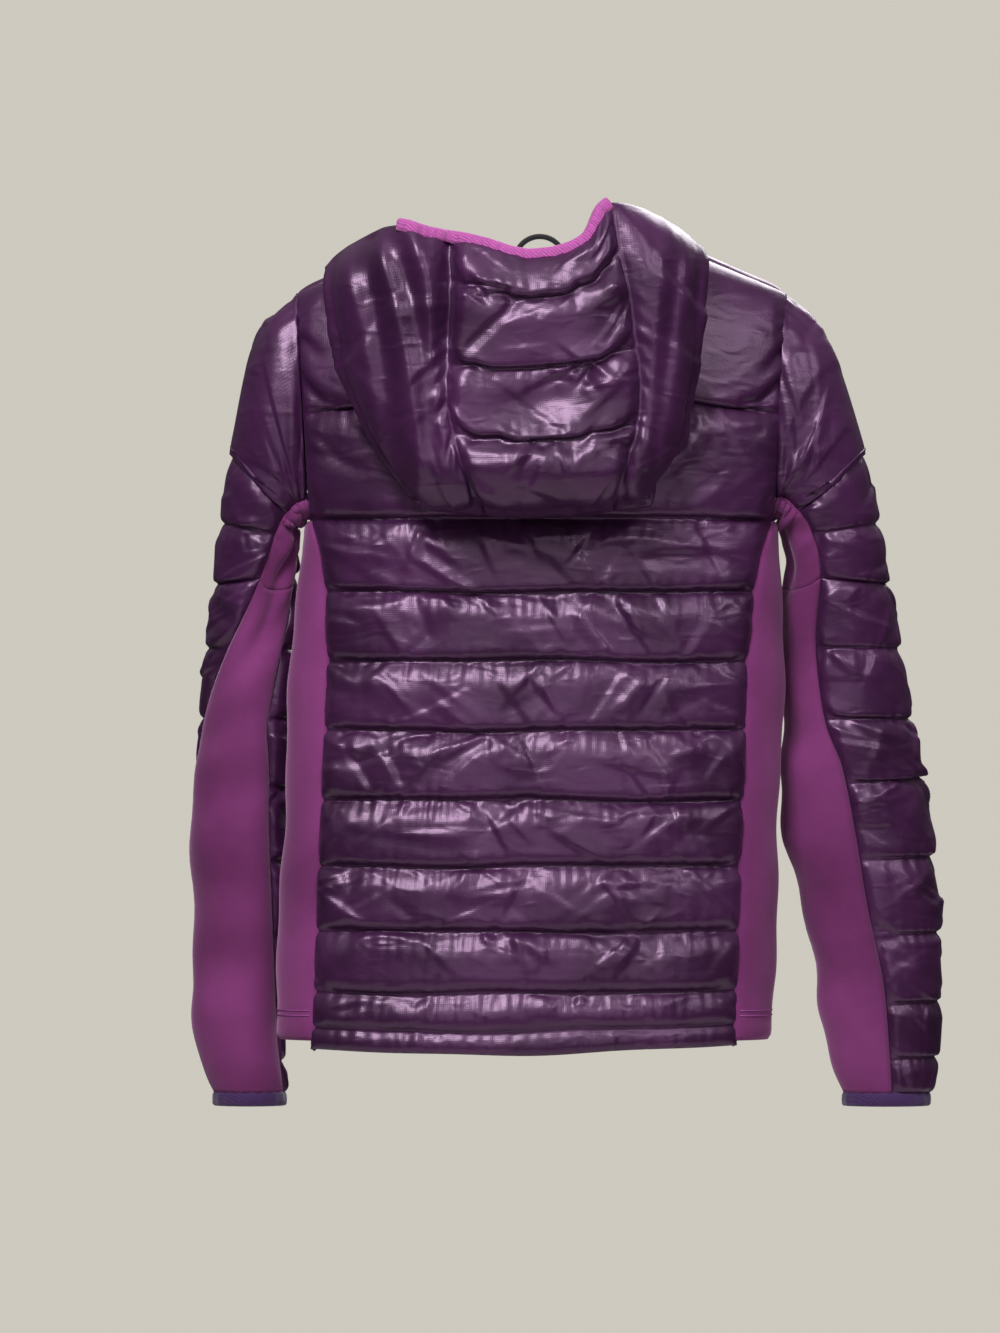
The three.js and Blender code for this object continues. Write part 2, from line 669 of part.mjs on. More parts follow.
function addHood() {
  const half = hoodPanelHalf - seamGap;
  const hoodSeams = [hoodBottomZ, -164, -104, -44, hoodRimZ.end];
  const heights = spread(0, 1, 12);
  const rimAt = (x) => lerp(hoodRimZ.middle, hoodRimZ.end, (Math.abs(x) / 110) ** 2);
  const outerLayer = (x, f) => {
    const z = lerp(hoodBottomZ + hoodWall, rimAt(x) - bindingWidth, f);
    return new THREE.Vector3(x, hoodOuterY(z), z);
  };
  const xs = spread(-half, half, 8);
  const crownAt = (x, f) => hoodWall / 2 + crown(outerLayer(x, f).z, hoodSeams);
  const centre = slab(outerLayer, xs, heights, crownAt, () => -hoodWall / 2);
  add(jacket, "hood_centre_panel", centre, shellMaterial);
  const backLayer = (x, f) => {
    const z = lerp(hoodBottomZ + hoodWall, hoodTopZ - 0.6, f);
    return new THREE.Vector3(x, hoodBackY(z), z);
  };
  const napeHalf = hoodPanelHalf - seamGap;
  const nape = slab(backLayer, spread(-napeHalf, napeHalf, 6), spread(0, 1, 7), () => -hoodWall / 2, () => hoodWall / 2);
  add(jacket, "hood_nape_panel", nape, shellMaterial);
  const crownPanel = hoodCrown(half);
  add(jacket, "hood_crown_panel", crownPanel, shellMaterial);
  for (const [hand, side] of HANDS) addHoodSide(hand, side);
  const binding = slab(
    (x, f) => new THREE.Vector3(x, hoodOuterY(rimAt(x)), rimAt(x) - bindingWidth + seamGap + f * bindingWidth),
    spread(-half, half, 8),
    [0, 1],
    () => 2.4,
    () => -2.4,
  );
  add(jacket, "hood_edge_binding", binding, pinkBindingMaterial);
}

// The panel that closes the folded hood below, a flat plate with rounded ends.
function hoodCrown(half) {
  const z = hoodBottomZ + hoodWall;
  const near = hoodOuterY(z) + hoodWall / 2 + seamGap;
  const far = hoodBackY(z) + hoodWall / 2;
  const reach = lobeReach(-1, z) - half;
  const outline = new THREE.Shape();
  outline.moveTo(-half, near);
  outline.lineTo(half, near);
  outline.quadraticCurveTo(half + reach, near, half + reach, (near + far) / 2);
  outline.quadraticCurveTo(half + reach, far, half, far);
  outline.lineTo(-half, far);
  outline.quadraticCurveTo(-half - reach, far, -half - reach, (near + far) / 2);
  outline.quadraticCurveTo(-half - reach, near, -half, near);
  const plate = new THREE.ExtrudeGeometry(outline, { depth: hoodWall - seamGap, bevelEnabled: false, curveSegments: 4 });
  return plate.translate(0, 0, hoodBottomZ);
}

// One side of the hood: a half ring from the centre panel's seam round to the layer that lies on the back.
function addHoodSide(hand, side) {
  const point = (grow) => (f, s) => {
    const turn = f * Math.PI;
    const top = lerp(hoodRimZ.end, hoodTopZ - 0.6, f);
    const z = lerp(hoodBottomZ + hoodWall, top, s);
    const [near, far] = [hoodOuterY(z), hoodBackY(z)];
    const halfY = (far - near) / 2 + grow;
    const reach = lobeReach(side, z) - hoodPanelHalf + grow;
    const x = hoodPanelHalf + Math.pow(Math.sin(turn), 0.8) * reach;
    return new THREE.Vector3(side * x, (near + far) / 2 - Math.cos(turn) * halfY, z);
  };
  const wall = shellBetween(point(hoodWall / 2), point(-hoodWall / 2), spread(0, 1, 9), spread(0, 1, 8));
  add(jacket, `hood_side_panel_${hand}`, wall, shellMaterial);
}

// ---- hanging loop, labels ----
// The loop is a half ring on two straight legs, which are sewn in at the neck seam.
class LoopPath extends THREE.Curve {
  getPoint(t, target = new THREE.Vector3()) {
    const arc = Math.PI * loopRadius;
    const along = t * (arc + 2 * loopLeg) - loopLeg;
    const springZ = loopCord - loopRadius;
    if (along < 0) return target.set(-loopRadius, -loopSetback, springZ + along);
    if (along > arc) return target.set(loopRadius, -loopSetback, springZ - (along - arc));
    const angle = Math.PI - along / loopRadius;
    return target.set(loopRadius * Math.cos(angle), -loopSetback, loopRadius * Math.sin(angle) + springZ);
  }
}

function addNeckDetails() {
  const section = new THREE.Shape().absarc(0, 0, loopCord, 0, Math.PI * 2);
  const loop = new THREE.ExtrudeGeometry(section, { extrudePath: new LoopPath(), steps: 24, curveSegments: 4 });
  add(jacket, "hanging_loop", loop, cordMaterial);
  const labelY = -loopSetback + loopCord + seamGap + label.thickness / 2;
  const patch = box(label.width, label.thickness, label.height, 0, labelY, label.z);
  add(jacket, "neck_label", patch, labelMaterial);
}

addBack();
for (const [hand, side] of HANDS) {
  addFront(hand, side);
  addSidePanel(hand, side);
  addCollar(hand, side);
  addSleeve(hand);
}
addZips();
addHood();
addNeckDetails();

const part = new THREE.Group();
part.add(jacket);
export default part;
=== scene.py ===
"""Looks of the hooded hybrid down ski jacket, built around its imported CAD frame.

Lengths are in millimetres, measured from the jacket's middle plane, until to_object() makes them metres.
"""
import json
import math

import bmesh
import bpy
import numpy as np
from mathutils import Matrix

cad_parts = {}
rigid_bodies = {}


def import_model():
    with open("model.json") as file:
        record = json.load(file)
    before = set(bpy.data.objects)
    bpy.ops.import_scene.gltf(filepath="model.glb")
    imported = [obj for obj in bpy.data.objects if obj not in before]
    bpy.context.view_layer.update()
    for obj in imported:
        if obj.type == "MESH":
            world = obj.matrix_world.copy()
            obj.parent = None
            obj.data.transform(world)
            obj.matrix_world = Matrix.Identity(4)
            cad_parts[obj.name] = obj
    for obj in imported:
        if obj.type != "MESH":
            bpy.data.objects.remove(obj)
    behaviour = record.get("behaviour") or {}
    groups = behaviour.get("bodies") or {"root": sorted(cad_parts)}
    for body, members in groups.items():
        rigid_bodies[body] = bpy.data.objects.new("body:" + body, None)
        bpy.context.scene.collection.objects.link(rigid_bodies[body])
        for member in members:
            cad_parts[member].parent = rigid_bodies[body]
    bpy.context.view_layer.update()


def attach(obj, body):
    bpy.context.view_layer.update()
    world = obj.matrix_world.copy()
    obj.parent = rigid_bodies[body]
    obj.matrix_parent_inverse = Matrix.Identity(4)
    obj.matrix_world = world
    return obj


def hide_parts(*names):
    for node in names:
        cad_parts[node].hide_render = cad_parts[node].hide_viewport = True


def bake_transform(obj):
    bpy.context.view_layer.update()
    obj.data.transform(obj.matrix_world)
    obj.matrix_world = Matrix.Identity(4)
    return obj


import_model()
MM = 0.001
MIDDLE_Y = 36.2  # the jacket's middle plane, in front of the loop
BACK, FRONT = -1, 1

# Settings of the cloth and of its grids
SIM_STEPS = 130
FINE = 2  # finished surfaces have this many times the grid lines of the simulated ones
BODY_SPACING = 4.0
SLEEVE_SPACING = 4.0
HOOD_SPACING = 3.8
COLLAR_SPACING = 2.5
DOWN = dict(pressure=0.10, bend=0.02, rough=0.9, ceiling=8.0)  # thin cloth over down
DOWN_SAG = 0.06


# ---------------------------------------------------------------- cloth
def project(a, b, wa, wb, rest, stiffness):
    """Move two slices of points so that each pair is nearer to its rest length."""
    d = b - a
    length = np.sqrt((d * d).sum(-1, keepdims=True)) + 1e-9
    both = wa + wb
    move = d * (stiffness * (length - rest) / (length * np.where(both > 0, both, 1)))
    a += wa * move
    b -= wb * move


def relax(rows, cols, pinned, slack=(0.05, 0.08), pressure=0.25, bend=0.05, steps=130,
          seed=1, rough=0.35, floor=0.0, sag=0.0, ceiling=12.0):
    """Rest shape of cloth with slack, held at its pinned points and blown up between them.

    rows and cols are the flat positions of the grid lines. Returns each point's shift (across, up, out).
    """
    ny, nx = len(rows), len(cols)
    rng = np.random.default_rng(seed)
    p = np.zeros((ny, nx, 3))
    p[..., 0] = cols[None, :]
    p[..., 1] = rows[:, None]
    flat = p.copy()
    w = np.where(pinned, 0.0, 1.0)[..., None]
    noise = rng.standard_normal((ny, nx))
    for _ in range(3):
        noise[1:-1, 1:-1] = (noise[1:-1, 1:-1] * 2 + noise[:-2, 1:-1] + noise[2:, 1:-1]
                             + noise[1:-1, :-2] + noise[1:-1, 2:]) / 6
    p[..., 2] += (1.0 + rough * 4 * noise) * w[..., 0]
    lx = np.diff(cols)[None, :, None] * (1 + np.broadcast_to(slack[0], (ny, nx - 1))[..., None])
    ly = np.diff(rows)[:, None, None] * (1 + np.broadcast_to(slack[1], (ny - 1, nx))[..., None])
    dx = float(np.mean(lx))
    dy = float(np.mean(ly))
    diagonal = np.sqrt(lx[:-1] ** 2 + ly[:, :-1] ** 2)
    old = p.copy()
    for step in range(steps):
        velocity = (p - old) * 0.92
        old = p.copy()
        p += velocity * w
        p[..., 2:] += pressure * w
        p[..., 1:2] -= sag * w
        for _ in range(2):
            for k in (0, 1):
                project(p[:, k:-1:2], p[:, k + 1::2], w[:, k:-1:2], w[:, k + 1::2], lx[:, k::2], 1.0)
                project(p[k:-1:2], p[k + 1::2], w[k:-1:2], w[k + 1::2], ly[k::2], 1.0)
            for k in (0, 1):
                d = diagonal[k::2]
                project(p[k:-1:2, :-1], p[k + 1::2, 1:], w[k:-1:2, :-1], w[k + 1::2, 1:], d, 0.45)
                project(p[k:-1:2, 1:], p[k + 1::2, :-1], w[k:-1:2, 1:], w[k + 1::2, :-1], d, 0.45)
            if bend:
                for k in (0, 1, 2, 3):
                    n = len(range(k, nx - 2, 4))
                    project(p[:, k:nx - 2:4], p[:, k + 2::4][:, :n], w[:, k:nx - 2:4], w[:, k + 2::4][:, :n],
                            2 * dx, bend)
                    n = len(range(k, ny - 2, 4))
                    project(p[k:ny - 2:4], p[k + 2::4][:n], w[k:ny - 2:4], w[k + 2::4][:n], 2 * dy, bend)
        np.clip(p[..., 2:], floor, ceiling, out=p[..., 2:])
    return p - flat


def cubic(a, b, c, d, f):
    """Smooth value between b and c at share f, with a and d as the neighbours."""
    return (b * (1 + 2 * f) * (1 - f) ** 2 + (c - a) / 2 * f * (1 - f) ** 2
            + c * f * f * (3 - 2 * f) + (d - b) / 2 * f * f * (f - 1))


def along(points):
    """Each point's distance along a line of points."""
    return np.r_[0, np.cumsum(np.linalg.norm(np.diff(points, axis=0), axis=-1))]


def evenly(line, count):
    """count points spread evenly along a line of points, and their distances along it."""
    d = along(line)
    u = np.linspace(0, d[-1], count)
    return np.stack([np.interp(u, d, line[:, k]) for k in range(3)], -1), u


def refine(grid, factor):
    """The same surface with factor times as many grid lines each way."""
    if factor == 1:
        return grid
    for axis in (0, 1):
        n = grid.shape[axis]
        at = np.linspace(0, n - 1, (n - 1) * factor + 1)
        i = np.clip(np.floor(at).astype(int), 0, n - 2)
        shape = [1] * grid.ndim
        shape[axis] = len(at)
        f = (at - i).reshape(shape)
        grid = cubic(*[np.take(grid, np.clip(i + k, 0, n - 1), axis=axis) for k in (-1, 0, 1, 2)], f)
    return grid


def crumple(rows, cols, seams, seed, density, size, height, upright=False):
    """Sharp creases of thin cloth between seams: tents of random slope, mostly near each upper seam."""
    rng = np.random.default_rng(seed)
    out = np.zeros((len(rows), len(cols)))
    width = cols[-1] - cols[0]
    for low, high in zip(seams[:-1], seams[1:]):
        tall = high - low
        count = max(3, int(width * tall * density / 10))
        for _ in range(count):
            cx = cols[0] + rng.random() * width
            cy = low + tall * (1 - abs(rng.normal(0, 0.42)))
            lean = rng.normal(0, 0.5) if upright else rng.choice([-1, 1]) * rng.uniform(0.45, 1.2)
            if rng.random() < 0.18:
                lean = rng.choice([-1, 1]) * rng.uniform(1.25, 1.6)
            long = rng.uniform(0.25, 0.8) * min(tall, 60) * size
            near, far = rng.uniform(2.2, 6.0) * size, rng.uniform(7.0, 20.0) * size
            if rng.random() < 0.5:
                near, far = far, near
            rise = rng.uniform(0.6, 2.4) * height * rng.choice([1, 1, -1]) * min(1, tall / 45)
            reach = long + max(near, far)
            j0, j1 = np.searchsorted(rows, (cy - reach, cy + reach))
            i0, i1 = np.searchsorted(cols, (cx - reach, cx + reach))
            if j1 <= j0 or i1 <= i0:
                continue
            dy = rows[j0:j1, None] - cy
            dx = cols[None, i0:i1] - cx
            lengthwise = dx * math.sin(lean) + dy * math.cos(lean)
            off = dx * math.cos(lean) - dy * math.sin(lean)
            tent = np.clip(1 - np.where(off > 0, off / near, -off / far), 0, 1)
            out[j0:j1, i0:i1] += rise * tent * np.clip(1 - (lengthwise / long) ** 2, 0, 1)
    hold = np.full(len(rows), 1e9)
    for seam in seams:
        hold = np.minimum(hold, np.abs(rows - seam))
    edge = np.minimum(cols - cols[0], cols[-1] - cols)
    return out * np.clip(hold / 4.5, 0, 1)[:, None] * np.clip(edge / 5, 0, 1)[None]


def puckers(rows, cols, seams, seed, height=0.7):
    """Short ripples that run out from each seam, where its thread draws the cloth in."""
    rng = np.random.default_rng(seed)
    out = np.zeros((len(rows), len(cols)))
    for seam in seams:
        waves = sum(rng.uniform(0.4, 1) * np.sin(cols * 2 * np.pi / rng.uniform(7, 17) + rng.uniform(0, 6.3))
                    for _ in range(5)) / 2
        for sign, reach in ((1, 7.0), (-1, 10.0)):
            d = (rows - seam) * sign
            fade = np.where(d >= 0, np.clip(d / 1.5, 0, 1) * np.exp(-np.clip(d, 0, None) / reach), 0)
            out += height * fade[:, None] * waves[None]
    return out


def quilt_detail(base, shift, rows, cols, seams, seed, side, density=0.02, height=1.0, fill=1.0, calm=None,
                 extra=None):
    """The finished outer surface of a quilted panel, on a finer grid.

    fill scales the creases, calm is a smoother grid for their directions, and extra may change them.
    """
    fine_base, fine_shift = refine(base, FINE), refine(shift, FINE)
    fine_rows = np.interp(np.linspace(0, len(rows) - 1, fine_base.shape[0]), np.arange(len(rows)), rows)
    fine_cols = np.interp(np.linspace(0, len(cols) - 1, fine_base.shape[1]), np.arange(len(cols)), cols)
    detail = crumple(fine_rows, fine_cols, seams, seed, density, 1.0, height)
    detail += puckers(fine_rows, fine_cols, seams, seed + 1)
    extra = detail if extra is None else extra(fine_rows, fine_cols, detail)
    fine_shift[..., 2] = np.maximum(fine_shift[..., 2] + extra * fill, -1.0)
    return carry(fine_base, fine_shift, side, None if calm is None else refine(calm, FINE))


def smooth(shift, pinned, passes=1):
    for _ in range(passes):
        s = shift.copy()
        s[1:-1, 1:-1] = shift[1:-1, 1:-1] * 0.5 + (shift[:-2, 1:-1] + shift[2:, 1:-1]
                                                 + shift[1:-1, :-2] + shift[1:-1, 2:]) * 0.125
        s[pinned] = shift[pinned]
        shift = s
    return shift


# ---------------------------------------------------------------- grids to meshes
def normals_of(grid):
    du = np.gradient(grid, axis=1)
    dv = np.gradient(grid, axis=0)
    n = np.cross(du, dv)
    n /= np.linalg.norm(n, axis=-1, keepdims=True) + 1e-9
    tu = du / (np.linalg.norm(du, axis=-1, keepdims=True) + 1e-9)
    tv = dv / (np.linalg.norm(dv, axis=-1, keepdims=True) + 1e-9)
    return tu, tv, n


def carry(base, shift, side=1.0, calm=None):
    """Put a flat cloth's shifts on a curved base grid. side is 1 where columns x rows points out.

    calm is a smoother grid, used for the directions.
    """
    tu, tv, n = normals_of(base if calm is None else calm)
    return base + tu * shift[..., :1] + tv * shift[..., 1:2] + side * n * shift[..., 2:]


def faces_of_grid(ny, nx, start=0, flip=False):
    idx = start + np.arange(ny * nx).reshape(ny, nx)
    q = np.stack([idx[:-1, :-1], idx[:-1, 1:], idx[1:, 1:], idx[1:, :-1]], -1).reshape(-1, 4)
    return q[:, ::-1] if flip else q


def rim_of_grid(ny, nx):
    idx = np.arange(ny * nx).reshape(ny, nx)
    return np.concatenate([idx[0, :], idx[1:, -1], idx[-1, -2::-1], idx[-2:0:-1, 0]])


def to_object(name, vertices, faces, material, smooth_faces=True, uv=None):
    mesh = bpy.data.meshes.new(name)
    world = np.asarray(vertices, float).reshape(-1, 3).copy()
    world[:, 1] += MIDDLE_Y
    mesh.from_pydata((world * MM).tolist(), [], [list(map(int, f)) for f in faces])
    if uv is not None:
        layer = mesh.uv_layers.new(name="cloth")
        loops = np.zeros(len(mesh.loops), dtype=np.int32)
        mesh.loops.foreach_get("vertex_index", loops)
        layer.data.foreach_set("uv", np.asarray(uv, float)[loops].ravel())
    mesh.materials.append(material)
    mesh.polygons.foreach_set("use_smooth", [smooth_faces] * len(mesh.polygons))
    mesh.validate()
    mesh.update()
    obj = bpy.data.objects.new(name, mesh)
    bpy.context.scene.collection.objects.link(obj)
    return obj


def shell(name, outer, thickness, material, side=1.0, inner=None):
    """A closed cloth: the outer grid, an inner grid and a rim between them. UVs are metres along it."""
    ny, nx = outer.shape[:2]
    if inner is None:
        inner = outer - side * normals_of(outer)[2] * thickness
    inner_faces = faces_of_grid(ny, nx, ny * nx, flip=side > 0)
    outer_faces = faces_of_grid(ny, nx, 0, flip=side < 0)
    rim = rim_of_grid(ny, nx)
    nxt = np.roll(rim, -1)
    rim_faces = np.stack([rim, rim + ny * nx, nxt + ny * nx, nxt], -1)
    if side < 0:
        rim_faces = rim_faces[:, ::-1]
    uv = np.stack(np.meshgrid(along(outer[ny // 2]), along(outer[:, nx // 2])), -1).reshape(-1, 2) * MM
    vertices = np.concatenate([outer.reshape(-1, 3), inner.reshape(-1, 3)])
    faces = np.concatenate([outer_faces, inner_faces, rim_faces])
    return to_object(name, vertices, faces, material, uv=np.concatenate([uv, uv]))


def tube(name, path, radius, material, sides=8, closed=False, flat=1.0, up=None):
    """A round or flattened tube along a path of points. radius may vary along it."""
    path = np.asarray(path, float)
    n = len(path)
    radius = np.broadcast_to(np.asarray(radius, float), (n,))
    t = np.roll(path, -1, 0) - np.roll(path, 1, 0) if closed else np.gradient(path, axis=0)
    t /= np.linalg.norm(t, axis=1, keepdims=True) + 1e-9
    if up is None:
        up = np.tile([0.0, -1.0, 0.0], (n, 1))
    up = np.broadcast_to(np.asarray(up, float), (n, 3))
    a = np.cross(t, up)
    a /= np.linalg.norm(a, axis=1, keepdims=True) + 1e-9
    b = np.cross(a, t)
    angles = np.linspace(0, 2 * np.pi, sides, endpoint=False)
    ring = (a[:, None] * np.cos(angles)[None, :, None] + b[:, None] * flat * np.sin(angles)[None, :, None])
    verts = (path[:, None] + ring * radius[:, None, None]).reshape(-1, 3)
    faces = []
    for i in range(n if closed else n - 1):
        j = (i + 1) % n
        for k in range(sides):
            m = (k + 1) % sides
            faces.append([i * sides + k, j * sides + k, j * sides + m, i * sides + m])
    if not closed:
        faces.append(list(range(sides)))
        faces.append([(n - 1) * sides + k for k in reversed(range(sides))])
    return to_object(name, verts, faces, material)


# ---------------------------------------------------------------- the body's surface, as in the CAD
HALF_WIDTH, WAIST_IN, SPREAD = 196, 8, 40
HEM_DEPTH, CHEST_DEPTH, SQUARE = 76, 60, 2.4
UNDERARM_Z, UNDERARM_X, SHOULDER_X, SHOULDER_Z = -221, 187, 197.6, -43
NECK, ROUND, BACK_DROP, FRONT_DROP, HEM_Z = 95, 170, 22, 85, -648
SLOPE = -SHOULDER_Z / (SHOULDER_X - NECK)


def shoulder_line(x):
    return SLOPE * (NECK - np.abs(x))


def half_width(z):
    rise = np.clip((z - UNDERARM_Z) / (SHOULDER_Z - UNDERARM_Z), 0, 1)
    drop = np.clip((UNDERARM_Z - z) / 180, 0, 1)
    above = HALF_WIDTH - WAIST_IN + SPREAD * np.sqrt(rise)
    return np.where(z > UNDERARM_Z, above, HALF_WIDTH - WAIST_IN * (1 - drop))


def half_depth(x, z):
    below = np.clip((-ROUND - z) / (-ROUND - HEM_Z), 0, 1)
    t = np.clip((shoulder_line(x) - z) / ROUND, 0, 1)
    across = (1 - np.minimum(1, np.abs(x) / half_width(z)) ** SQUARE) ** (1 / SQUARE)
    return (CHEST_DEPTH + (HEM_DEPTH - CHEST_DEPTH) * below) * across * np.sqrt(1 - (1 - t) ** 2)


def top_z(side, x):
    drop = BACK_DROP if side == BACK else FRONT_DROP
    return np.minimum(shoulder_line(x), -drop * (1 - np.minimum(1, np.abs(x) / NECK) ** 2))


def armhole_x(z):
    rise = np.clip((z - UNDERARM_Z) / (SHOULDER_Z - UNDERARM_Z), 0, 1)
    return UNDERARM_X + (SHOULDER_X - UNDERARM_X) * rise


# The quilting seams of the body, from the hem up, and how far its middle hangs off centre at each height.
BODY_SEAMS = [-648, -631, -603, -555, -503, -450, -394, -339, -283, -224]
CHEST_SEAM_TURN = 0.30  # place of the highest seam between the underarm row and the neck
EDGE_Z = [-648, -339, -283, -250, -224]
EDGE_X = [171.0, 170.0, 173.0, 178.0, 186.5]
DRIFT_Z = [-648, -500, -340, -224]
DRIFT_X = [-13.0, -8.0, -2.0, 1.5]


def drift(z):
    return np.interp(z, DRIFT_Z, DRIFT_X)


def grid_lines(stops, spacing):
    """Positions that hit every stop, about spacing apart. Returns them and each stop's index."""
    lines, marks = [float(stops[0])], [0]
    for a, b in zip(stops[:-1], stops[1:]):
        n = max(2, int(round(abs(b - a) / spacing)))
        lines += list(np.linspace(a, b, n + 1)[1:])
        marks.append(len(lines) - 1)
    return np.array(lines), marks


def body_base(side, us, vs):
    """Base grid of a quilted body panel.

    us run from -1 to 1 across it. vs are heights up to the underarm row, which are negative, then turns from
    0 to 1 over the shoulder.
    """
    out = np.zeros((len(vs), len(us), 3))
    for j, v in enumerate(vs):
        if v <= 0:
            z = np.full(len(us), float(v))
            edge = np.interp(v, EDGE_Z, EDGE_X)
            x = us * edge
            # The hem sags in the middle.
            low = np.clip((-560 - v) / 88, 0, 1)
            z = z - low * 4.5 * (1 - us ** 2) + low * 1.5 * us
        else:
            turn = math.sin(v * math.pi / 2)
            z = BODY_SEAMS[-1] + (top_z(side, us * UNDERARM_X) - BODY_SEAMS[-1]) * turn
            x = us * armhole_x(z)
            z = BODY_SEAMS[-1] + (top_z(side, x) - BODY_SEAMS[-1]) * turn
        wave = 1.2 * np.sin(us * 3.1 + v * 0.05) + 0.8 * np.sin(us * 7.3 + v * 0.11)
        fade = 1.0 if v < -230 and side == BACK else 0.0
        z = z + wave * fade * (1 - us ** 2)
        out[j, :, 0] = x + drift(z)
        out[j, :, 2] = z
        out[j, :, 1] = side * (half_depth(x, z) + 0.3)
    return out


def quilted_body(side, hand=0):
    """Back panel (hand 0) or one half of the front. Returns its base grid, the flat positions of its rows and
    columns, its pinned points and the rows of its seams.
    """
    turns, _ = grid_lines([0.0, CHEST_SEAM_TURN, 0.72, 1.0], BODY_SPACING / 190)
    chest = len(grid_lines([0.0, CHEST_SEAM_TURN], BODY_SPACING / 190)[0]) - 1
    low, marks = grid_lines(BODY_SEAMS, BODY_SPACING)
    vs = np.r_[low, turns[1:]]
    seam_rows = marks + [marks[-1] + chest]
    if side == BACK:
        us = np.linspace(-1, 1, int(350 / BODY_SPACING) + 1)
    else:
        start = (8.75 + 0.4) / 170
        us = hand * np.linspace(start, 1, int(172 / BODY_SPACING) + 1)
    base = body_base(side, us, vs)
    if side == FRONT:
        push = 20 * np.clip(vs, 0, 1) ** 2
        base[..., 0] += hand * push[:, None] * (1 - np.abs(us))[None, :]
    rows = np.r_[0, np.cumsum(np.linalg.norm(np.diff(base[:, len(us) // 2], axis=0), axis=-1))]
    cols = np.abs(us - us[0]) * 171
    pinned = np.zeros((len(vs), len(us)), bool)
    pinned[seam_rows] = True
    pinned[0] = pinned[-1] = True
    pinned[:, 0] = pinned[:, -1] = True
    return base, rows, cols, pinned, seam_rows


# ---------------------------------------------------------------- materials
def material(name, colour, roughness, **sockets):
    m = bpy.data.materials.new(name)
    m.use_nodes = True
    bsdf = m.node_tree.nodes["Principled BSDF"]
    bsdf.inputs["Base Color"].default_value = (*colour, 1)
    bsdf.inputs["Roughness"].default_value = roughness
    for key, value in sockets.items():
        bsdf.inputs[key.replace("_", " ")].default_value = value
    return m, m.node_tree, bsdf


def node(tree, kind, **values):
    n = tree.nodes.new(kind)
    for key, value in values.items():
        if key in n.inputs:
            n.inputs[key].default_value = value
        else:
            setattr(n, key, value)
    return n


def cloth_coords(tree, scale=(1, 1, 1), kind="Object"):
    coords = node(tree, "ShaderNodeTexCoord")
    mapping = node(tree, "ShaderNodeMapping")
    mapping.inputs["Scale"].default_value = scale
    tree.links.new(coords.outputs[kind], mapping.inputs["Vector"])
    return mapping.outputs["Vector"]


def noise(tree, vector, scale, detail=3.0, distortion=0.0, kind="FBM"):
    n = node(tree, "ShaderNodeTexNoise", Scale=scale, Detail=detail, Distortion=distortion)
    n.noise_type = kind
    tree.links.new(vector, n.inputs["Vector"])
    return n.outputs["Fac"] if "Fac" in n.outputs else n.outputs[0]


def two_tone(tree, fac, dark, light, low=0.35, high=0.65):
    ramp = node(tree, "ShaderNodeValToRGB")
    ramp.color_ramp.elements[0].position = low
    ramp.color_ramp.elements[0].color = (*dark, 1)
    ramp.color_ramp.elements[1].position = high
    ramp.color_ramp.elements[1].color = (*light, 1)
    tree.links.new(fac, ramp.inputs["Fac"])
    return ramp.outputs["Color"]


def bump(tree, height, distance, strength=1.0, below=None):
    n = node(tree, "ShaderNodeBump", Strength=strength, Distance=distance)
    tree.links.new(height, n.inputs["Height"])
    if below is not None:
        tree.links.new(below, n.inputs["Normal"])
    return n.outputs["Normal"]


def combine(tree, a, b, operation="ADD"):
    n = node(tree, "ShaderNodeMath", operation=operation)
    tree.links.new(a, n.inputs[0])
    tree.links.new(b, n.inputs[1])
    return n.outputs[0]


WAVES_PER_METRE = 0.314  # a wave texture of this scale repeats every metre


def weave(tree, vector, pitch):
    """Crossed threads, pitch metres apart."""
    outs = []
    for axis in ("X", "Y"):
        w = node(tree, "ShaderNodeTexWave", Scale=WAVES_PER_METRE / pitch)
        w.bands_direction = axis
        tree.links.new(vector, w.inputs["Vector"])
        outs.append(w.outputs["Fac"])
    return combine(tree, outs[0], outs[1])


def shell_material(name, dark, light):
    m, tree, bsdf = material(name, light, 0.36, Specular_IOR_Level=0.62, Sheen_Weight=0.05,
                             Sheen_Roughness=0.5)
    bsdf.inputs["Specular Tint"].default_value = (1.0, 0.68, 1.0, 1)
    bsdf.inputs["Sheen Tint"].default_value = (0.6, 0.3, 0.7, 1)
    where = cloth_coords(tree)
    stretched = cloth_coords(tree, (1, 1, 2.2))
    cloud = noise(tree, where, 14, 4)
    tree.links.new(two_tone(tree, cloud, dark, light), bsdf.inputs["Base Color"])
    creases = noise(tree, stretched, 38, 3, 0.6, "RIDGED_MULTIFRACTAL")
    fine = noise(tree, where, 240, 2)
    threads = weave(tree, cloth_coords(tree, kind="UV"), 0.0015)
    n = bump(tree, creases, 0.0011, 0.8)
    n = bump(tree, fine, 0.00022, 0.5, n)
    n = bump(tree, threads, 0.00004, 0.5, n)
    tree.links.new(n, bsdf.inputs["Normal"])
    worn = node(tree, "ShaderNodeMapRange")
    worn.inputs["To Min"].default_value = 0.27
    worn.inputs["To Max"].default_value = 0.40
    tree.links.new(noise(tree, where, 60, 3), worn.inputs["Value"])
    tree.links.new(worn.outputs["Result"], bsdf.inputs["Roughness"])
    return m


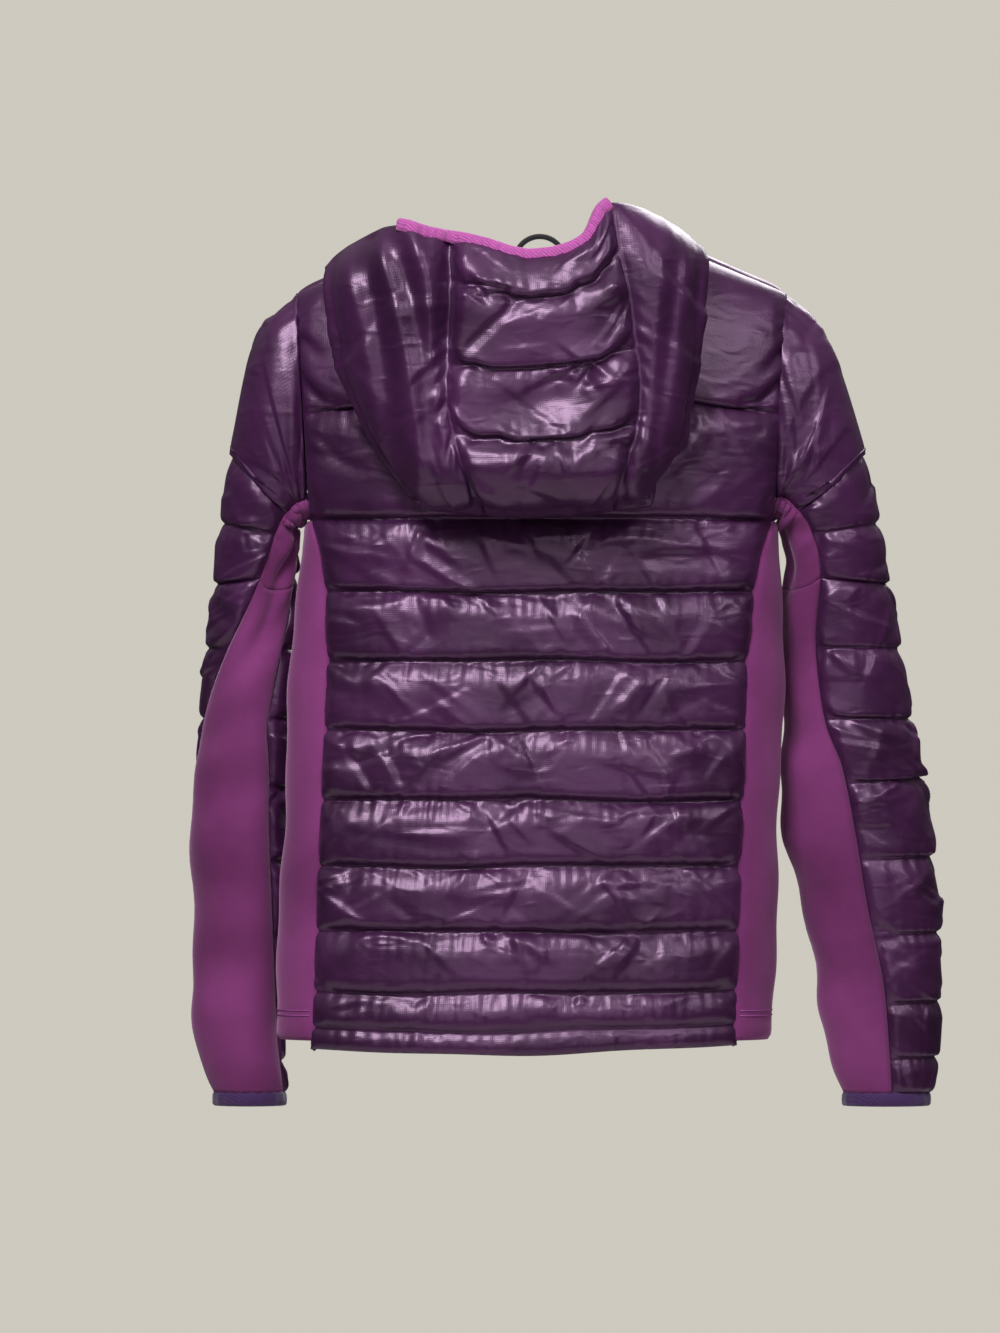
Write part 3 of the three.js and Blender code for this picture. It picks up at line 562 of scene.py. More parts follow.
def stretch_material(name, dark, light):
    m, tree, bsdf = material(name, light, 0.9, Specular_IOR_Level=0.2, Sheen_Weight=0.35,
                             Sheen_Roughness=0.45)
    bsdf.inputs["Sheen Tint"].default_value = (0.95, 0.55, 0.9, 1)
    where = cloth_coords(tree)
    tree.links.new(two_tone(tree, noise(tree, where, 9, 4), dark, light), bsdf.inputs["Base Color"])
    knit = weave(tree, cloth_coords(tree, kind="UV"), 0.0022)
    fuzz = noise(tree, where, 900, 2)
    n = bump(tree, knit, 0.0001, 0.5)
    n = bump(tree, fuzz, 0.00018, 0.6, n)
    n = bump(tree, noise(tree, where, 28, 3), 0.0012, 0.35, n)
    tree.links.new(n, bsdf.inputs["Normal"])
    return m


def ribbed_material(name, colour, pitch=0.0012):
    dark = tuple(c * 0.62 for c in colour)
    m, tree, bsdf = material(name, colour, 0.75, Specular_IOR_Level=0.3, Sheen_Weight=0.3)
    where = cloth_coords(tree)
    ribs = node(tree, "ShaderNodeTexWave", Scale=WAVES_PER_METRE / pitch)
    ribs.bands_direction = "DIAGONAL"
    tree.links.new(where, ribs.inputs["Vector"])
    mix = combine(tree, ribs.outputs["Fac"], noise(tree, where, 300, 2), "MULTIPLY")
    tree.links.new(two_tone(tree, mix, dark, colour, 0.05, 0.45), bsdf.inputs["Base Color"])
    n = bump(tree, ribs.outputs["Fac"], 0.00025, 0.7)
    n = bump(tree, noise(tree, where, 700, 2), 0.00012, 0.5, n)
    tree.links.new(n, bsdf.inputs["Normal"])
    return m


def plain_material(name, colour, roughness, grain=500, depth=0.00008, metallic=0.0, spread=0.25):
    m, tree, bsdf = material(name, colour, roughness, Metallic=metallic)
    where = cloth_coords(tree)
    dark = tuple(c * (1 - spread) for c in colour)
    tree.links.new(two_tone(tree, noise(tree, where, 90, 3), dark, colour), bsdf.inputs["Base Color"])
    tree.links.new(bump(tree, noise(tree, where, grain, 2), depth, 0.6), bsdf.inputs["Normal"])
    return m


SHELL = shell_material("shell_nylon", (0.026, 0.0055, 0.028), (0.052, 0.0115, 0.056))
STRETCH = stretch_material("stretch_fleece", (0.125, 0.020, 0.098), (0.205, 0.037, 0.162))
LINING = shell_material("lining_nylon", (0.022, 0.006, 0.03), (0.05, 0.014, 0.066))
PINK = ribbed_material("hood_binding_pink", (0.46, 0.085, 0.36), 0.0016)
VIOLET = ribbed_material("cuff_binding_violet", (0.055, 0.014, 0.105), 0.0016)
THREAD = plain_material("thread_dark", (0.02, 0.006, 0.028), 0.7, 900)
PINK_THREAD = plain_material("thread_magenta", (0.33, 0.07, 0.29), 0.7, 900)
TAPE = ribbed_material("zip_tape_dark", (0.03, 0.01, 0.042), 0.0009)
TEETH = plain_material("zip_teeth", (0.024, 0.01, 0.034), 0.4, 700, spread=0.4)
METAL = plain_material("zip_lacquer", (0.035, 0.02, 0.045), 0.32, 900, 0.00004, metallic=0.6)
CORD = ribbed_material("loop_cord_black", (0.012, 0.010, 0.012), 0.0013)
ENAMEL = plain_material("pull_lacquer", (0.03, 0.014, 0.038), 0.35, 900, 0.00003)
LABEL = ribbed_material("label_white", (0.78, 0.78, 0.76), 0.0007)


# ---------------------------------------------------------------- studio
def studio():
    camera = bpy.data.cameras.new("camera")
    cam = bpy.data.objects.new("camera", camera)
    bpy.context.scene.collection.objects.link(cam)
    distance = 8.0
    view_height = 1.066  # metres that the picture is high at the back panel
    cam.location = (-0.032, -distance, -0.343)
    cam.rotation_euler = (math.radians(90), 0, 0)
    camera.sensor_fit = "VERTICAL"
    camera.sensor_height = 36
    back_plane = distance - 0.03
    camera.lens = camera.sensor_height * back_plane / view_height
    bpy.context.scene.camera = cam
    bpy.context.scene.view_settings.view_transform = "Standard"
    world = bpy.data.worlds.new("studio")
    bpy.context.scene.world = world
    world.use_nodes = True
    tree = world.node_tree
    coords = node(tree, "ShaderNodeTexCoord")
    split = node(tree, "ShaderNodeSeparateXYZ")
    tree.links.new(coords.outputs["Generated"], split.inputs[0])
    ramp = node(tree, "ShaderNodeMapRange")
    ramp.inputs["From Min"].default_value = -1
    ramp.inputs["From Max"].default_value = 1
    tree.links.new(split.outputs["Z"], ramp.inputs["Value"])
    shade = node(tree, "ShaderNodeValToRGB")
    stops = [(0.0, 0.06), (0.3, 0.045), (0.45, 0.035), (0.55, 0.05), (0.68, 0.18), (1.0, 0.40)]
    shade.color_ramp.elements[0].position = 0
    shade.color_ramp.elements[1].position = 1
    for position, _ in stops[1:-1]:
        shade.color_ramp.elements.new(position)
    for element, (position, value) in zip(shade.color_ramp.elements, stops):
        element.position = position
        element.color = (value, value * 0.975, value * 0.92, 1)
    tree.links.new(ramp.outputs["Result"], shade.inputs["Fac"])
    # The wall seen behind the jacket is pale and even; what lights the cloth comes mostly from above.
    wall = node(tree, "ShaderNodeMix", data_type="RGBA")
    seen = node(tree, "ShaderNodeLightPath")
    tree.links.new(seen.outputs["Is Camera Ray"], wall.inputs["Factor"])
    tree.links.new(shade.outputs["Color"], wall.inputs[6])
    wall.inputs[7].default_value = (0.615, 0.588, 0.52, 1)
    tree.links.new(wall.outputs[2], tree.nodes["Background"].inputs["Color"])
    tree.nodes["Background"].inputs["Strength"].default_value = 1.0
    for name, place, size, power, aim in [
        ("key", (-0.55, -1.7, 1.15), 0.8, 48, (0, 0, -0.35)),
        ("key_right", (1.1, -1.6, 0.9), 0.8, 11, (0, 0, -0.3)),
        ("fill", (0.2, -2.4, -0.1), 1.8, 9, (0, 0, -0.35)),
        ("top", (0, -0.5, 1.5), 1.2, 3, (0, 0, -0.3)),
        ("front", (0.6, 1.6, 1.1), 1.3, 30, (0, 0, -0.35)),
    ]:
        light = bpy.data.lights.new(name, "AREA")
        light.size = size
        light.energy = power
        lamp = bpy.data.objects.new(name, light)
        bpy.context.scene.collection.objects.link(lamp)
        lamp.location = place
        direction = np.array(aim) - np.array(place)
        yaw = math.atan2(direction[1], direction[0])
        pitch = math.atan2(direction[2], math.hypot(direction[0], direction[1]))
        lamp.rotation_euler = (pitch + math.pi / 2, 0, yaw - math.pi / 2)
    floor_mat = plain_material("floor_pale", (0.74, 0.73, 0.70), 0.9, 60, 0.0002, spread=0.04)
    count, radius, top, bottom = 96, 1500, -1500, -1520
    angles = np.linspace(0, 2 * math.pi, count, endpoint=False)
    ring = [(radius * math.cos(a), radius * math.sin(a), top) for a in angles]
    low = [(x, y, bottom) for x, y, _ in ring]
    ends = [list(range(count)), list(range(2 * count - 1, count - 1, -1))]
    sides = [[i, i + count, (i + 1) % count + count, (i + 1) % count] for i in range(count)]
    floor = to_object("floor", ring + low, ends + sides, floor_mat, smooth_faces=False)


studio()


# ---------------------------------------------------------------- torso
PAD = 6.5  # thickness of the finished quilting at a seam
LINING_DEPTH, LINING_THICKNESS = 8.0, 0.8


def keep(piece, body, *nodes, slot=None, padded=None):
    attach(piece, body)
    if nodes:
        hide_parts(*nodes)
    return piece


def seam_thread(name, points, body, material=THREAD, radius=0.55, slot="shell_fabric"):
    return keep(tube(name, points, radius, material, sides=5), body, slot=slot)


def make_back():
    base, rows, cols, pinned, seams = quilted_body(BACK)
    shift = relax(rows, cols, pinned, slack=(0.045, 0.05), seed=11, sag=DOWN_SAG, steps=SIM_STEPS, **DOWN)
    outer = quilt_detail(base, smooth(shift, pinned), rows, cols, rows[seams], 12, 1.0)
    keep(shell("back_panel_quilted", outer, PAD, SHELL), "torso", "back_panel", slot="shell_fabric",
         padded=0.6)
    inner = base + normals_of(base)[2] * -LINING_DEPTH
    keep(shell("back_lining_cloth", inner[2:-2, 2:-2][::3, ::3], LINING_THICKNESS, LINING), "torso",
         "back_lining", slot="lining")


def make_front(hand, side):
    base, rows, cols, pinned, seams = quilted_body(FRONT, side)
    shift = relax(rows, cols, pinned, slack=(0.045, 0.05), seed=23 + side, sag=DOWN_SAG, steps=SIM_STEPS,
                  **DOWN)
    # The pocket zip lies flat in the quilting.
    across = np.abs(base[..., 0] - drift(base[..., 2])) - 0.647 * 171
    beyond = np.maximum(np.abs(base[..., 2] + 479) - 68, 0)
    flat = np.clip((np.hypot(across, beyond) - 7) / 14, 0, 1)[..., None]
    outer = quilt_detail(base, smooth(shift, pinned) * flat, rows, cols, rows[seams], 24 + side, -side,
                         fill=refine(flat, FINE)[..., 0])
    keep(shell(f"front_panel_{hand}_quilted", outer, PAD, SHELL, -side), "torso", f"front_panel_{hand}",
         slot="shell_fabric", padded=0.6)
    inner = base + side * normals_of(base)[2] * LINING_DEPTH
    cloth = shell(f"front_lining_{hand}_cloth", inner[2:-2, 1:-2][::3, ::3], LINING_THICKNESS, LINING, -side)
    keep(cloth, "torso", f"front_lining_{hand}", slot="lining")


def side_base(side, rows, cols):
    """Side of the body between the quilted panels; cols run from -1 at the back seam to 1 at the front."""
    out = np.zeros((len(rows), len(cols), 3))
    for j, z in enumerate(rows):
        w = float(half_width(np.array(z)))
        edge = min(np.interp(z, EDGE_Z, EDGE_X) + 0.2, w - 0.5)
        limit = math.acos((edge / w) ** (SQUARE / 2)) + 0.05
        angle = cols * limit
        depth = float(half_depth(np.array(0.0), np.array(z))) + 0.3
        out[j, :, 0] = side * w * np.cos(angle) ** (2 / SQUARE) + drift(z)
        out[j, :, 1] = depth * np.sign(angle) * np.abs(np.sin(angle)) ** (2 / SQUARE)
        out[j, :, 2] = z
    return out


def make_side(hand, side):
    low, top, girth = -643, -226, 110
    rows = np.linspace(low, top, int((top - low) / SLEEVE_SPACING))
    cols = np.linspace(-1, 1, int(girth / SLEEVE_SPACING))
    base = side_base(side, rows, cols)
    pinned = np.zeros(base.shape[:2], bool)
    pinned[:, 0] = pinned[:, -1] = pinned[0] = pinned[-1] = True
    above_hem = np.clip((rows[:, None] + 650) / 60, 0, 1)
    wave = 1.6 * np.sin(rows[:, None] * 0.031 + cols[None] * 1.4) + 0.8 * np.sin(rows[:, None] * 0.083)
    fold = wave * (1 - cols[None] ** 2) * above_hem
    shift = relax(rows, cols * 50, pinned, slack=(0.012, 0.008), bend=0.5, pressure=0.05, seed=31 + side,
                  steps=60, ceiling=3.0)
    shift[..., 2] += fold
    outer = carry(base, shift, side)
    high = np.clip((rows[:, None] + 400) / 100, 0, 1) * np.clip((-226 - rows[:, None]) / 20, 0, 1)
    outer[..., 0] += side * (1.0 + 1.2 * high * (1 - cols[None] ** 2))
    keep(shell(f"side_panel_{hand}_stretch", outer, 2.2, STRETCH, side), "torso", f"side_panel_{hand}",
         slot="stretch_fabric")
    # Two rows of cover stitch above the turned hem.
    for k, height in enumerate((-622, -617)):
        j = int(np.argmin(np.abs(rows - height)))
        line = outer[j, 1:-1] + side * normals_of(outer)[2][j, 1:-1] * 0.25
        seam_thread(f"side_{hand}_hem_stitch_{k}", line, "torso", PINK_THREAD, 0.5, "stretch_fabric")


# ---------------------------------------------------------------- sleeves
SLEEVES = {
    "right": [
        (187, -221, 197.6, -43, 0, 33, -150, -215), (190, -224, 228, -78, 3, 35, -140, -215),
        (194, -228, 254, -150, 9, 37, -130, -215), (198, -237, 270, -216, 17, 38, -118, -218),
        (198, -262, 279, -268, 24, 38, -108, -220), (198, -325, 290, -325, 31, 38, -118, -220),
        (198, -385, 299, -385, 33, 38, -112, -220), (199, -426, 306, -417, 34, 38, -100, -220),
        (203, -480, 314, -475, 35, 37, -94, -220), (214, -540, 321, -537, 36, 36, -93, -220),
        (230, -600, 323, -595, 37, 33, -89, -220), (236, -650, 322, -645, 38, 30, -86, -220),
        (246, -688, 316, -688, 38, 26, -84, -220)],
    "left": [
        (187, -221, 197.6, -43, 0, 33, -150, -215), (190, -224, 226, -80, 3, 35, -145, -205),
        (194, -228, 243, -150, 9, 36, -135, -200), (198, -237, 254, -216, 17, 36, -122, -192),
        (198, -262, 260, -268, 25, 36, -103, -175), (199, -325, 268, -325, 33, 36, -62, -140),
        (201, -385, 273, -385, 36, 35, -18, -120), (203, -426, 276, -417, 38, 35, 4, -125),
        (206, -480, 279, -475, 40, 34, 16, -132), (208, -540, 279, -537, 41, 33, 20, -142),
        (209, -600, 278, -595, 42, 31, 20, -152), (209, -650, 276, -645, 42, 29, 20, -160),
        (206, -688, 264, -688, 42, 26, 20, -165)],
}
SLEEVE_SEAMS = [0.0, 2.3, 3.2, 4.15, 5.05, 6.0, 7.3, 8.35, 9.35, 10.35, 11.3, 12.0]
SPLIT = 4.15  # the sleeve is two pieces, which meet at this quilting seam


def station(hand, t):
    """Smoothly interpolated section of a sleeve at station t."""
    table = np.array(SLEEVES[hand], float)
    n = len(table)
    i = int(min(max(math.floor(t), 0), n - 2))
    f = t - i
    b, c = table[i], table[i + 1]
    a = table[i - 1] if i else 2 * b - c
    d = table[i + 2] if i + 2 < n else 2 * c - b
    return cubic(a, b, c, d, f)


def sleeve_base(hand, ts, fractions, which, off):
    """Base grid over a sleeve: rows from the cuff up, columns around it between the two panel seams."""
    side = 1 if hand == "right" else -1
    out = np.zeros((len(ts), len(fractions), 3))
    for j, t in enumerate(ts):
        in_x, in_z, out_x, out_z, y, half_y, s1, s2 = station(hand, t)
        first, last = (s2, s1) if which == "stretch" else (s1, s2 + 360)
        angle = np.radians(first + (last - first) * fractions)
        half = math.hypot(out_x - in_x, out_z - in_z) / 2
        c = np.cos(angle) * (half + off) / half
        out[j, :, 0] = side * ((in_x + out_x) / 2 + (out_x - in_x) / 2 * c)
        out[j, :, 1] = y + np.sin(angle) * (half_y + off)
        out[j, :, 2] = (in_z + out_z) / 2 + (out_z - in_z) / 2 * c
    return out


def lengths(base):
    """Flat cloth positions of a base grid's rows and columns, from its real lengths."""
    up = np.linalg.norm(np.diff(base, axis=0), axis=-1).mean(1)
    around = np.linalg.norm(np.diff(base, axis=1), axis=-1).mean(0)
    return np.r_[0, np.cumsum(up)], np.r_[0, np.cumsum(around)]


def make_sleeve(hand):
    side = 1 if hand == "right" else -1
    seams = SLEEVE_SEAMS[::-1]
    ts, marks = grid_lines([-s for s in seams], SLEEVE_SPACING / 58)
    ts = -ts
    ts[-1] = -0.05
    split = int(np.argmin(np.abs(ts - SPLIT)))
    around = np.linspace(0, 1, int(205 / SLEEVE_SPACING))
    base = sleeve_base(hand, ts, around, "quilt", -0.8)
    rows, cols = lengths(base)
    pinned = np.zeros(base.shape[:2], bool)
    pinned[marks] = True
    pinned[:, 0] = pinned[:, -1] = True
    shift = relax(rows, cols, pinned, slack=(0.03, 0.012), seed=41 + side, sag=DOWN_SAG, steps=SIM_STEPS,
                  **{**DOWN, "ceiling": 4.2})
    outer = quilt_detail(base, smooth(shift, pinned), rows, cols, rows[marks], 44 + side, side, height=1.1)
    for part, chosen in (("lower", slice(0, split * FINE + 1)), ("upper", slice(split * FINE, None))):
        keep_sleeve(f"{part}_sleeve_{hand}_padded", outer[chosen], 6.0, SHELL, hand, part, "quilted")
    around = np.linspace(0, 1, int(95 / SLEEVE_SPACING))
    base = sleeve_base(hand, ts, around, "stretch", -0.3)
    rows, cols = lengths(base)
    pinned = np.zeros(base.shape[:2], bool)
    pinned[:, 0] = pinned[:, -1] = pinned[0] = pinned[-1] = True
    shift = relax(rows, cols, pinned, slack=(0.02, 0.012), bend=0.5, pressure=0.03, seed=51 + side, steps=60,
                  ceiling=4.0)
    tt = ts[:, None]
    ff = around[None]
    env = np.sin(np.pi * ff)
    folds = 3.2 * np.sin(tt * 2.4 + ff * 3.0 + side) + 2.0 * np.sin(tt * 5.1 - ff * 4.0)
    folds = folds * np.clip(tt / 2, 0, 1) * np.clip((12 - tt) / 1.5, 0, 1)
    # Long folds run down from under the arm.
    arm = 7.0 * np.exp(-((ff - 0.45 - 0.05 * (tt - 3)) / 0.12) ** 2) * np.exp(-((tt - 3.4) / 1.5) ** 2)
    shift[..., 2] += (folds - arm) * env
    shift = smooth(shift, pinned, 4)
    outer = carry(base, shift, side)
    for part, chosen in (("lower", slice(0, split + 1)), ("upper", slice(split, None))):
        keep_sleeve(f"{part}_sleeve_{hand}_fleece", outer[chosen], 2.0, STRETCH, hand, part, "stretch")
    make_cuff(hand)


def keep_sleeve(name, outer, thickness, mat, hand, part, kind):
    side = 1 if hand == "right" else -1
    piece = shell(name, outer, thickness, mat, side)
    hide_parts(f"{part}_sleeve_{hand}_{kind}")
    if part == "upper":
        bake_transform(piece)
    else:
        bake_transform(piece)
    return piece


def make_cuff(hand):
    """Bound edge of the cuff: a ribbed band round the sleeve's end."""
    side = 1 if hand == "right" else -1
    fractions = np.linspace(0, 1, 73)[:-1]
    section = [(-1.0, -0.4), (2.0, 0.9), (6.0, 1.2), (9.5, 0.8), (10.6, -0.4), (9.5, -1.8), (6.0, -2.2),
               (2.0, -2.0), (-1.0, -1.6)]  # how far down and how far out
    in_x, in_z, out_x, out_z, y, half_y, _, _ = station(hand, 12.0)
    a = fractions * 2 * np.pi
    half = (out_x - in_x) / 2
    wobble = 0.35 * np.sin(a * 18)
    rings = np.array([np.stack([side * ((in_x + out_x) / 2 + np.cos(a) * (half + off + wobble)),
                                y + np.sin(a) * (half_y + off + wobble),
                                np.full_like(a, (in_z + out_z) / 2 - drop)], -1) for drop, off in section])
    nr, na = rings.shape[:2]
    faces = []
    for r in range(nr):
        for k in range(na):
            m, q = (k + 1) % na, (r + 1) % nr
            f = [r * na + k, r * na + m, q * na + m, q * na + k]
            faces.append(f if side < 0 else f[::-1])
    band = to_object(f"cuff_{hand}_binding", rings, faces, VIOLET)
    keep(band, f"lower_sleeve_{hand}", f"cuff_binding_{hand}", slot="cuff_binding")


make_back()
for HAND, SIDE in (("left", -1), ("right", 1)):
    make_front(HAND, SIDE)
    make_side(HAND, SIDE)
    make_sleeve(HAND)


# ---------------------------------------------------------------- hood
HOOD_LEFT = [(-94, -213), (-106, -200), (-123, -178), (-138, -153), (-151, -125), (-160, -102), (-166, -74),
             (-170, -50), (-172, -24)]
HOOD_RIGHT = [(86, -213), (95, -187), (112, -163), (118, -136), (123, -115), (126, -93), (129, -70),
              (130, -50), (130, -14)]
HOOD_BOTTOM = [(-94, -213), (-63, -219), (-21, -223), (22, -222), (54, -220), (86, -213)]
HOOD_RIM = [(-110, 8), (-89, 1), (-63, -3), (-42, -8), (-25, -14), (-10, -17), (11, -15), (27, -10), (38, -3),
            (43, 6), (49, 20), (54, 25)]
HOOD_LOBE_LEFT = [(-172, -24), (-164, -15), (-153, -7), (-142, -1), (-123, 7), (-110, 8)]
HOOD_LOBE_RIGHT = [(54, 25), (66, 26), (82, 22), (98, 15), (112, 7), (124, -3), (130, -14)]
HOOD_SEAM_LEFT = [(-91, -213), (-84, -195), (-79, -160), (-77, -120), (-74, -95), (-72, -60), (-73, -30),
                  (-76, -2)]
HOOD_SEAM_RIGHT = [(84, -213), (80, -185), (83, -150), (81, -115), (78, -95), (73, -60), (66, -20), (58, 22)]
HOOD_BACK = -74.0
BINDING_WIDTH = 9.6


def curve(points, t):
    """Points at shares t of a polyline's length."""
    pts = np.array(points, float)
    d = np.r_[0, np.cumsum(np.hypot(*np.diff(pts, axis=0).T))]
    d /= d[-1]
    return np.stack([np.interp(t, d, pts[:, k]) for k in (0, 1)], -1)


def smooth_line(line, passes=4):
    for _ in range(passes):
        line[1:-1] = line[1:-1] * 0.5 + (line[:-2] + line[2:]) * 0.25
    return line


def hood_plan(spacing):
    """Hood seen from behind: x and z of a grid, rows from the bottom up, and the columns of its seams."""
    rows = np.linspace(0, 1, int(235 / spacing))
    n_left, n_mid, n_right = int(80 / spacing), int(152 / spacing), int(48 / spacing)
    left, right = smooth_line(curve(HOOD_LEFT, rows)), smooth_line(curve(HOOD_RIGHT, rows))
    seam_l, seam_r = smooth_line(curve(HOOD_SEAM_LEFT, rows)), smooth_line(curve(HOOD_SEAM_RIGHT, rows))
    parts = []
    for a, b, n in ((left, seam_l, n_left), (seam_l, seam_r, n_mid), (seam_r, right, n_right)):
        f = np.linspace(0, 1, n + 1)[None, :, None]
        grid = a[:, None] * (1 - f) + b[:, None] * f
        parts.append(grid if not parts else grid[:, 1:])
    grid = np.concatenate(parts, 1)
    marks = (n_left, n_left + n_mid)
    # The top and bottom rows follow their own curves.
    top = np.concatenate([curve(HOOD_LOBE_LEFT, np.linspace(0, 1, 40)),
                          curve(HOOD_RIM, np.linspace(0, 1, 80))[1:],
                          curve(HOOD_LOBE_RIGHT, np.linspace(0, 1, 40))[1:]])
    d = np.r_[0, np.cumsum(np.hypot(*np.diff(top, axis=0).T))]
    own = np.r_[0, np.cumsum(np.hypot(*np.diff(grid[-1], axis=0).T))]
    target = np.stack([np.interp(own / own[-1], d / d[-1], top[:, k]) for k in (0, 1)], -1)
    bottom = curve(HOOD_BOTTOM, np.linspace(0, 1, grid.shape[1]))
    grid = grid + (target - grid[-1])[None] * (rows ** 3)[:, None, None]
    grid = grid + (bottom - grid[0])[None] * ((1 - rows) ** 5)[:, None, None]
    return grid, rows, marks


def bell(value, centre, width):
    return np.exp(-((value - centre) / width) ** 2)


def make_hood():
    plan, rows, (left, right) = hood_plan(HOOD_SPACING)
    ny, nx = plan.shape[:2]
    x, z = plan[..., 0], plan[..., 1]
    t = rows[:, None]
    s = np.linspace(0, 1, nx)[None]
    # How far each point stands off the back: full in the middle, closing to the sides and the bottom roll.
    across = (1 - np.abs(2 * s - 1) ** 3.2) ** 0.5
    roll = np.sqrt(1 - (1 - np.clip(t / 0.22, 0, 1)) ** 2)
    lobe = np.clip((-112 - x) / 40, 0, 1) + np.clip((x - 58) / 50, 0, 1)
    closing = 1 - lobe * np.clip((t - 0.82) / 0.18, 0, 1) ** 2 * 0.92
    depth = 5 - 6 * (1 - across) ** 3 + 58 * across * (0.25 + 0.75 * roll) * closing
    # The bottom edge turns in to meet the layer that lies on the back.
    turned = np.sqrt(1 - (1 - np.clip(t / 0.07, 0, 1)) ** 2)
    depth = -1 + (depth + 1) * turned
    calm = np.stack([x, HOOD_BACK - depth, z], -1)
    # The rim falls in towards the neck, and the middle sags under it.
    depth -= 12 * bell(x, -25, 90) * np.clip((t - 0.75) / 0.25, 0, 1) ** 2
    depth += 5 * bell(z, -45, 22) * bell(x, 0, 60)
    depth -= 9 * bell(z, -128, 20) * bell(x, 5 + (z + 128) * 0.7, 38)
    depth += 7 * bell(z, -185, 26) * bell(x, 0, 80)
    # A deep pleat beside the left seam, and upright folds in both sides.
    depth -= 11 * bell(x, -73 + (z + 40) * 0.06, 8) * np.clip((z + 125) / 45, 0, 1)
    sway = x + 0.20 * (z + 90) + 6 * np.sin(z * 0.02)
    depth += 4.6 * np.sin(sway * 0.215 + 0.4) * np.clip((-80 - x) / 16, 0, 1) * across
    depth += 3.4 * np.sin((x - 0.13 * (z + 60)) * 0.30) * np.clip((x - 84) / 10, 0, 1) * across
    base = np.stack([x, HOOD_BACK - depth, z], -1)
    row_pos, col_pos = lengths(base)
    pinned = np.zeros((ny, nx), bool)
    pinned[:, left] = pinned[:, right] = True
    pinned[0] = pinned[-1] = True
    pinned[:, 0] = pinned[:, -1] = True
    mid = slice(left, right + 1)
    seam_rows = [int(np.argmin(np.abs(z[:, nx // 2] - h))) for h in (-158, -104, -44)]
    for j, dip in zip(seam_rows, (2, 1, 3)):
        for i in range(left, right + 1):
            f = (i - left) / (right - left)
            pinned[int(round(j - dip * math.sin(math.pi * f))), i] = True
    slack_x = np.full((1, nx - 1), 0.075)
    slack_x[:, left:right] = 0.05
    slack_y = np.full((1, nx), 0.03)
    slack_y[:, mid] = 0.06
    shift = relax(row_pos, col_pos, pinned, slack=(slack_x, slack_y), seed=61, sag=DOWN_SAG, steps=SIM_STEPS,
                  **DOWN)
    marks = [row_pos[0]] + [row_pos[j] for j in seam_rows] + [row_pos[-1]]
    seam_l, seam_r = col_pos[left], col_pos[right]

    def side_creases(fine_rows, fine_cols, detail):
        """The side parts have no cross seams, so their creases run mostly upright."""
        long = crumple(fine_rows, fine_cols, [0, fine_rows[-1] / 2, fine_rows[-1]], 67, 0.012, 1.5, 1.0, True)
        inner = np.clip(np.minimum(fine_cols - seam_l, seam_r - fine_cols) / 4, 0, 1)
        outer_side = np.clip(np.maximum(seam_l - fine_cols, fine_cols - seam_r) / 4, 0, 1)
        return detail * inner[None] + long * outer_side[None]

    outer = quilt_detail(base, smooth(shift, pinned), row_pos, col_pos, marks, 66, 1.0, density=0.022,
                         height=1.2, calm=calm, extra=side_creases)
    base = refine(base, FINE)
    keep(shell("hood_quilted", outer, 6.0, SHELL), "hood", "hood_centre_panel", "hood_crown_panel",
         "hood_side_panel_left", "hood_side_panel_right", slot="shell_fabric", padded=0.5)
    make_nape(plan, rows)
    make_hood_binding(base[-1])


def make_nape(plan, rows):
    """The layer of the hood that lies on the back, and the strip that joins it to the neck."""
    grid = plan[::2, ::2].copy()
    x = grid[..., 0] * 0.975
    t = rows[::2][:, None]
    inside = np.clip((115 - np.abs(x + 18)) / 40, 0, 1)
    limit = np.where(inside > 0, -23.0, 40.0)
    z = -208 + (np.minimum(grid[..., 1][-1:], 40 + (limit - 40) * inside) + 208) * t
    lean = 16.8 * np.clip(1 - (-22 - z) / 60, 0, 1) ** 2 * bell(x, 0, 70)
    y = -72.5 + np.minimum(lean, 16.8) - 2.6 + 2.0 * (1 - t)
    nape = np.stack([x, y, z], -1)
    keep(shell("hood_nape_cloth", nape, 4.0, SHELL), "hood", "hood_nape_panel", slot="shell_fabric")
    cols = np.linspace(-1, 1, 41)
    neck_x = cols * 90
    neck_z = top_z(BACK, neck_x)
    neck = np.stack([neck_x, -(half_depth(neck_x, neck_z) + 4), neck_z + 2], -1)
    top = nape[-1]
    order = np.argsort(top[:, 0])
    hood_x = cols * 92
    hood_edge = np.stack([hood_x, np.interp(hood_x, top[order, 0], top[order, 1]) + 2,
                          np.interp(hood_x, top[order, 0], top[order, 2]) - 3], -1)
    f = np.linspace(0, 1, 7)[:, None, None]
    strip = neck[None] * (1 - f) + hood_edge[None] * f
    strip[..., 2] -= 4 * np.sin(np.pi * f[..., 0])
    strip = strip[::-1]
    piece = shell("hood_neck_join", strip, 2.5, SHELL)
    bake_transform(piece)


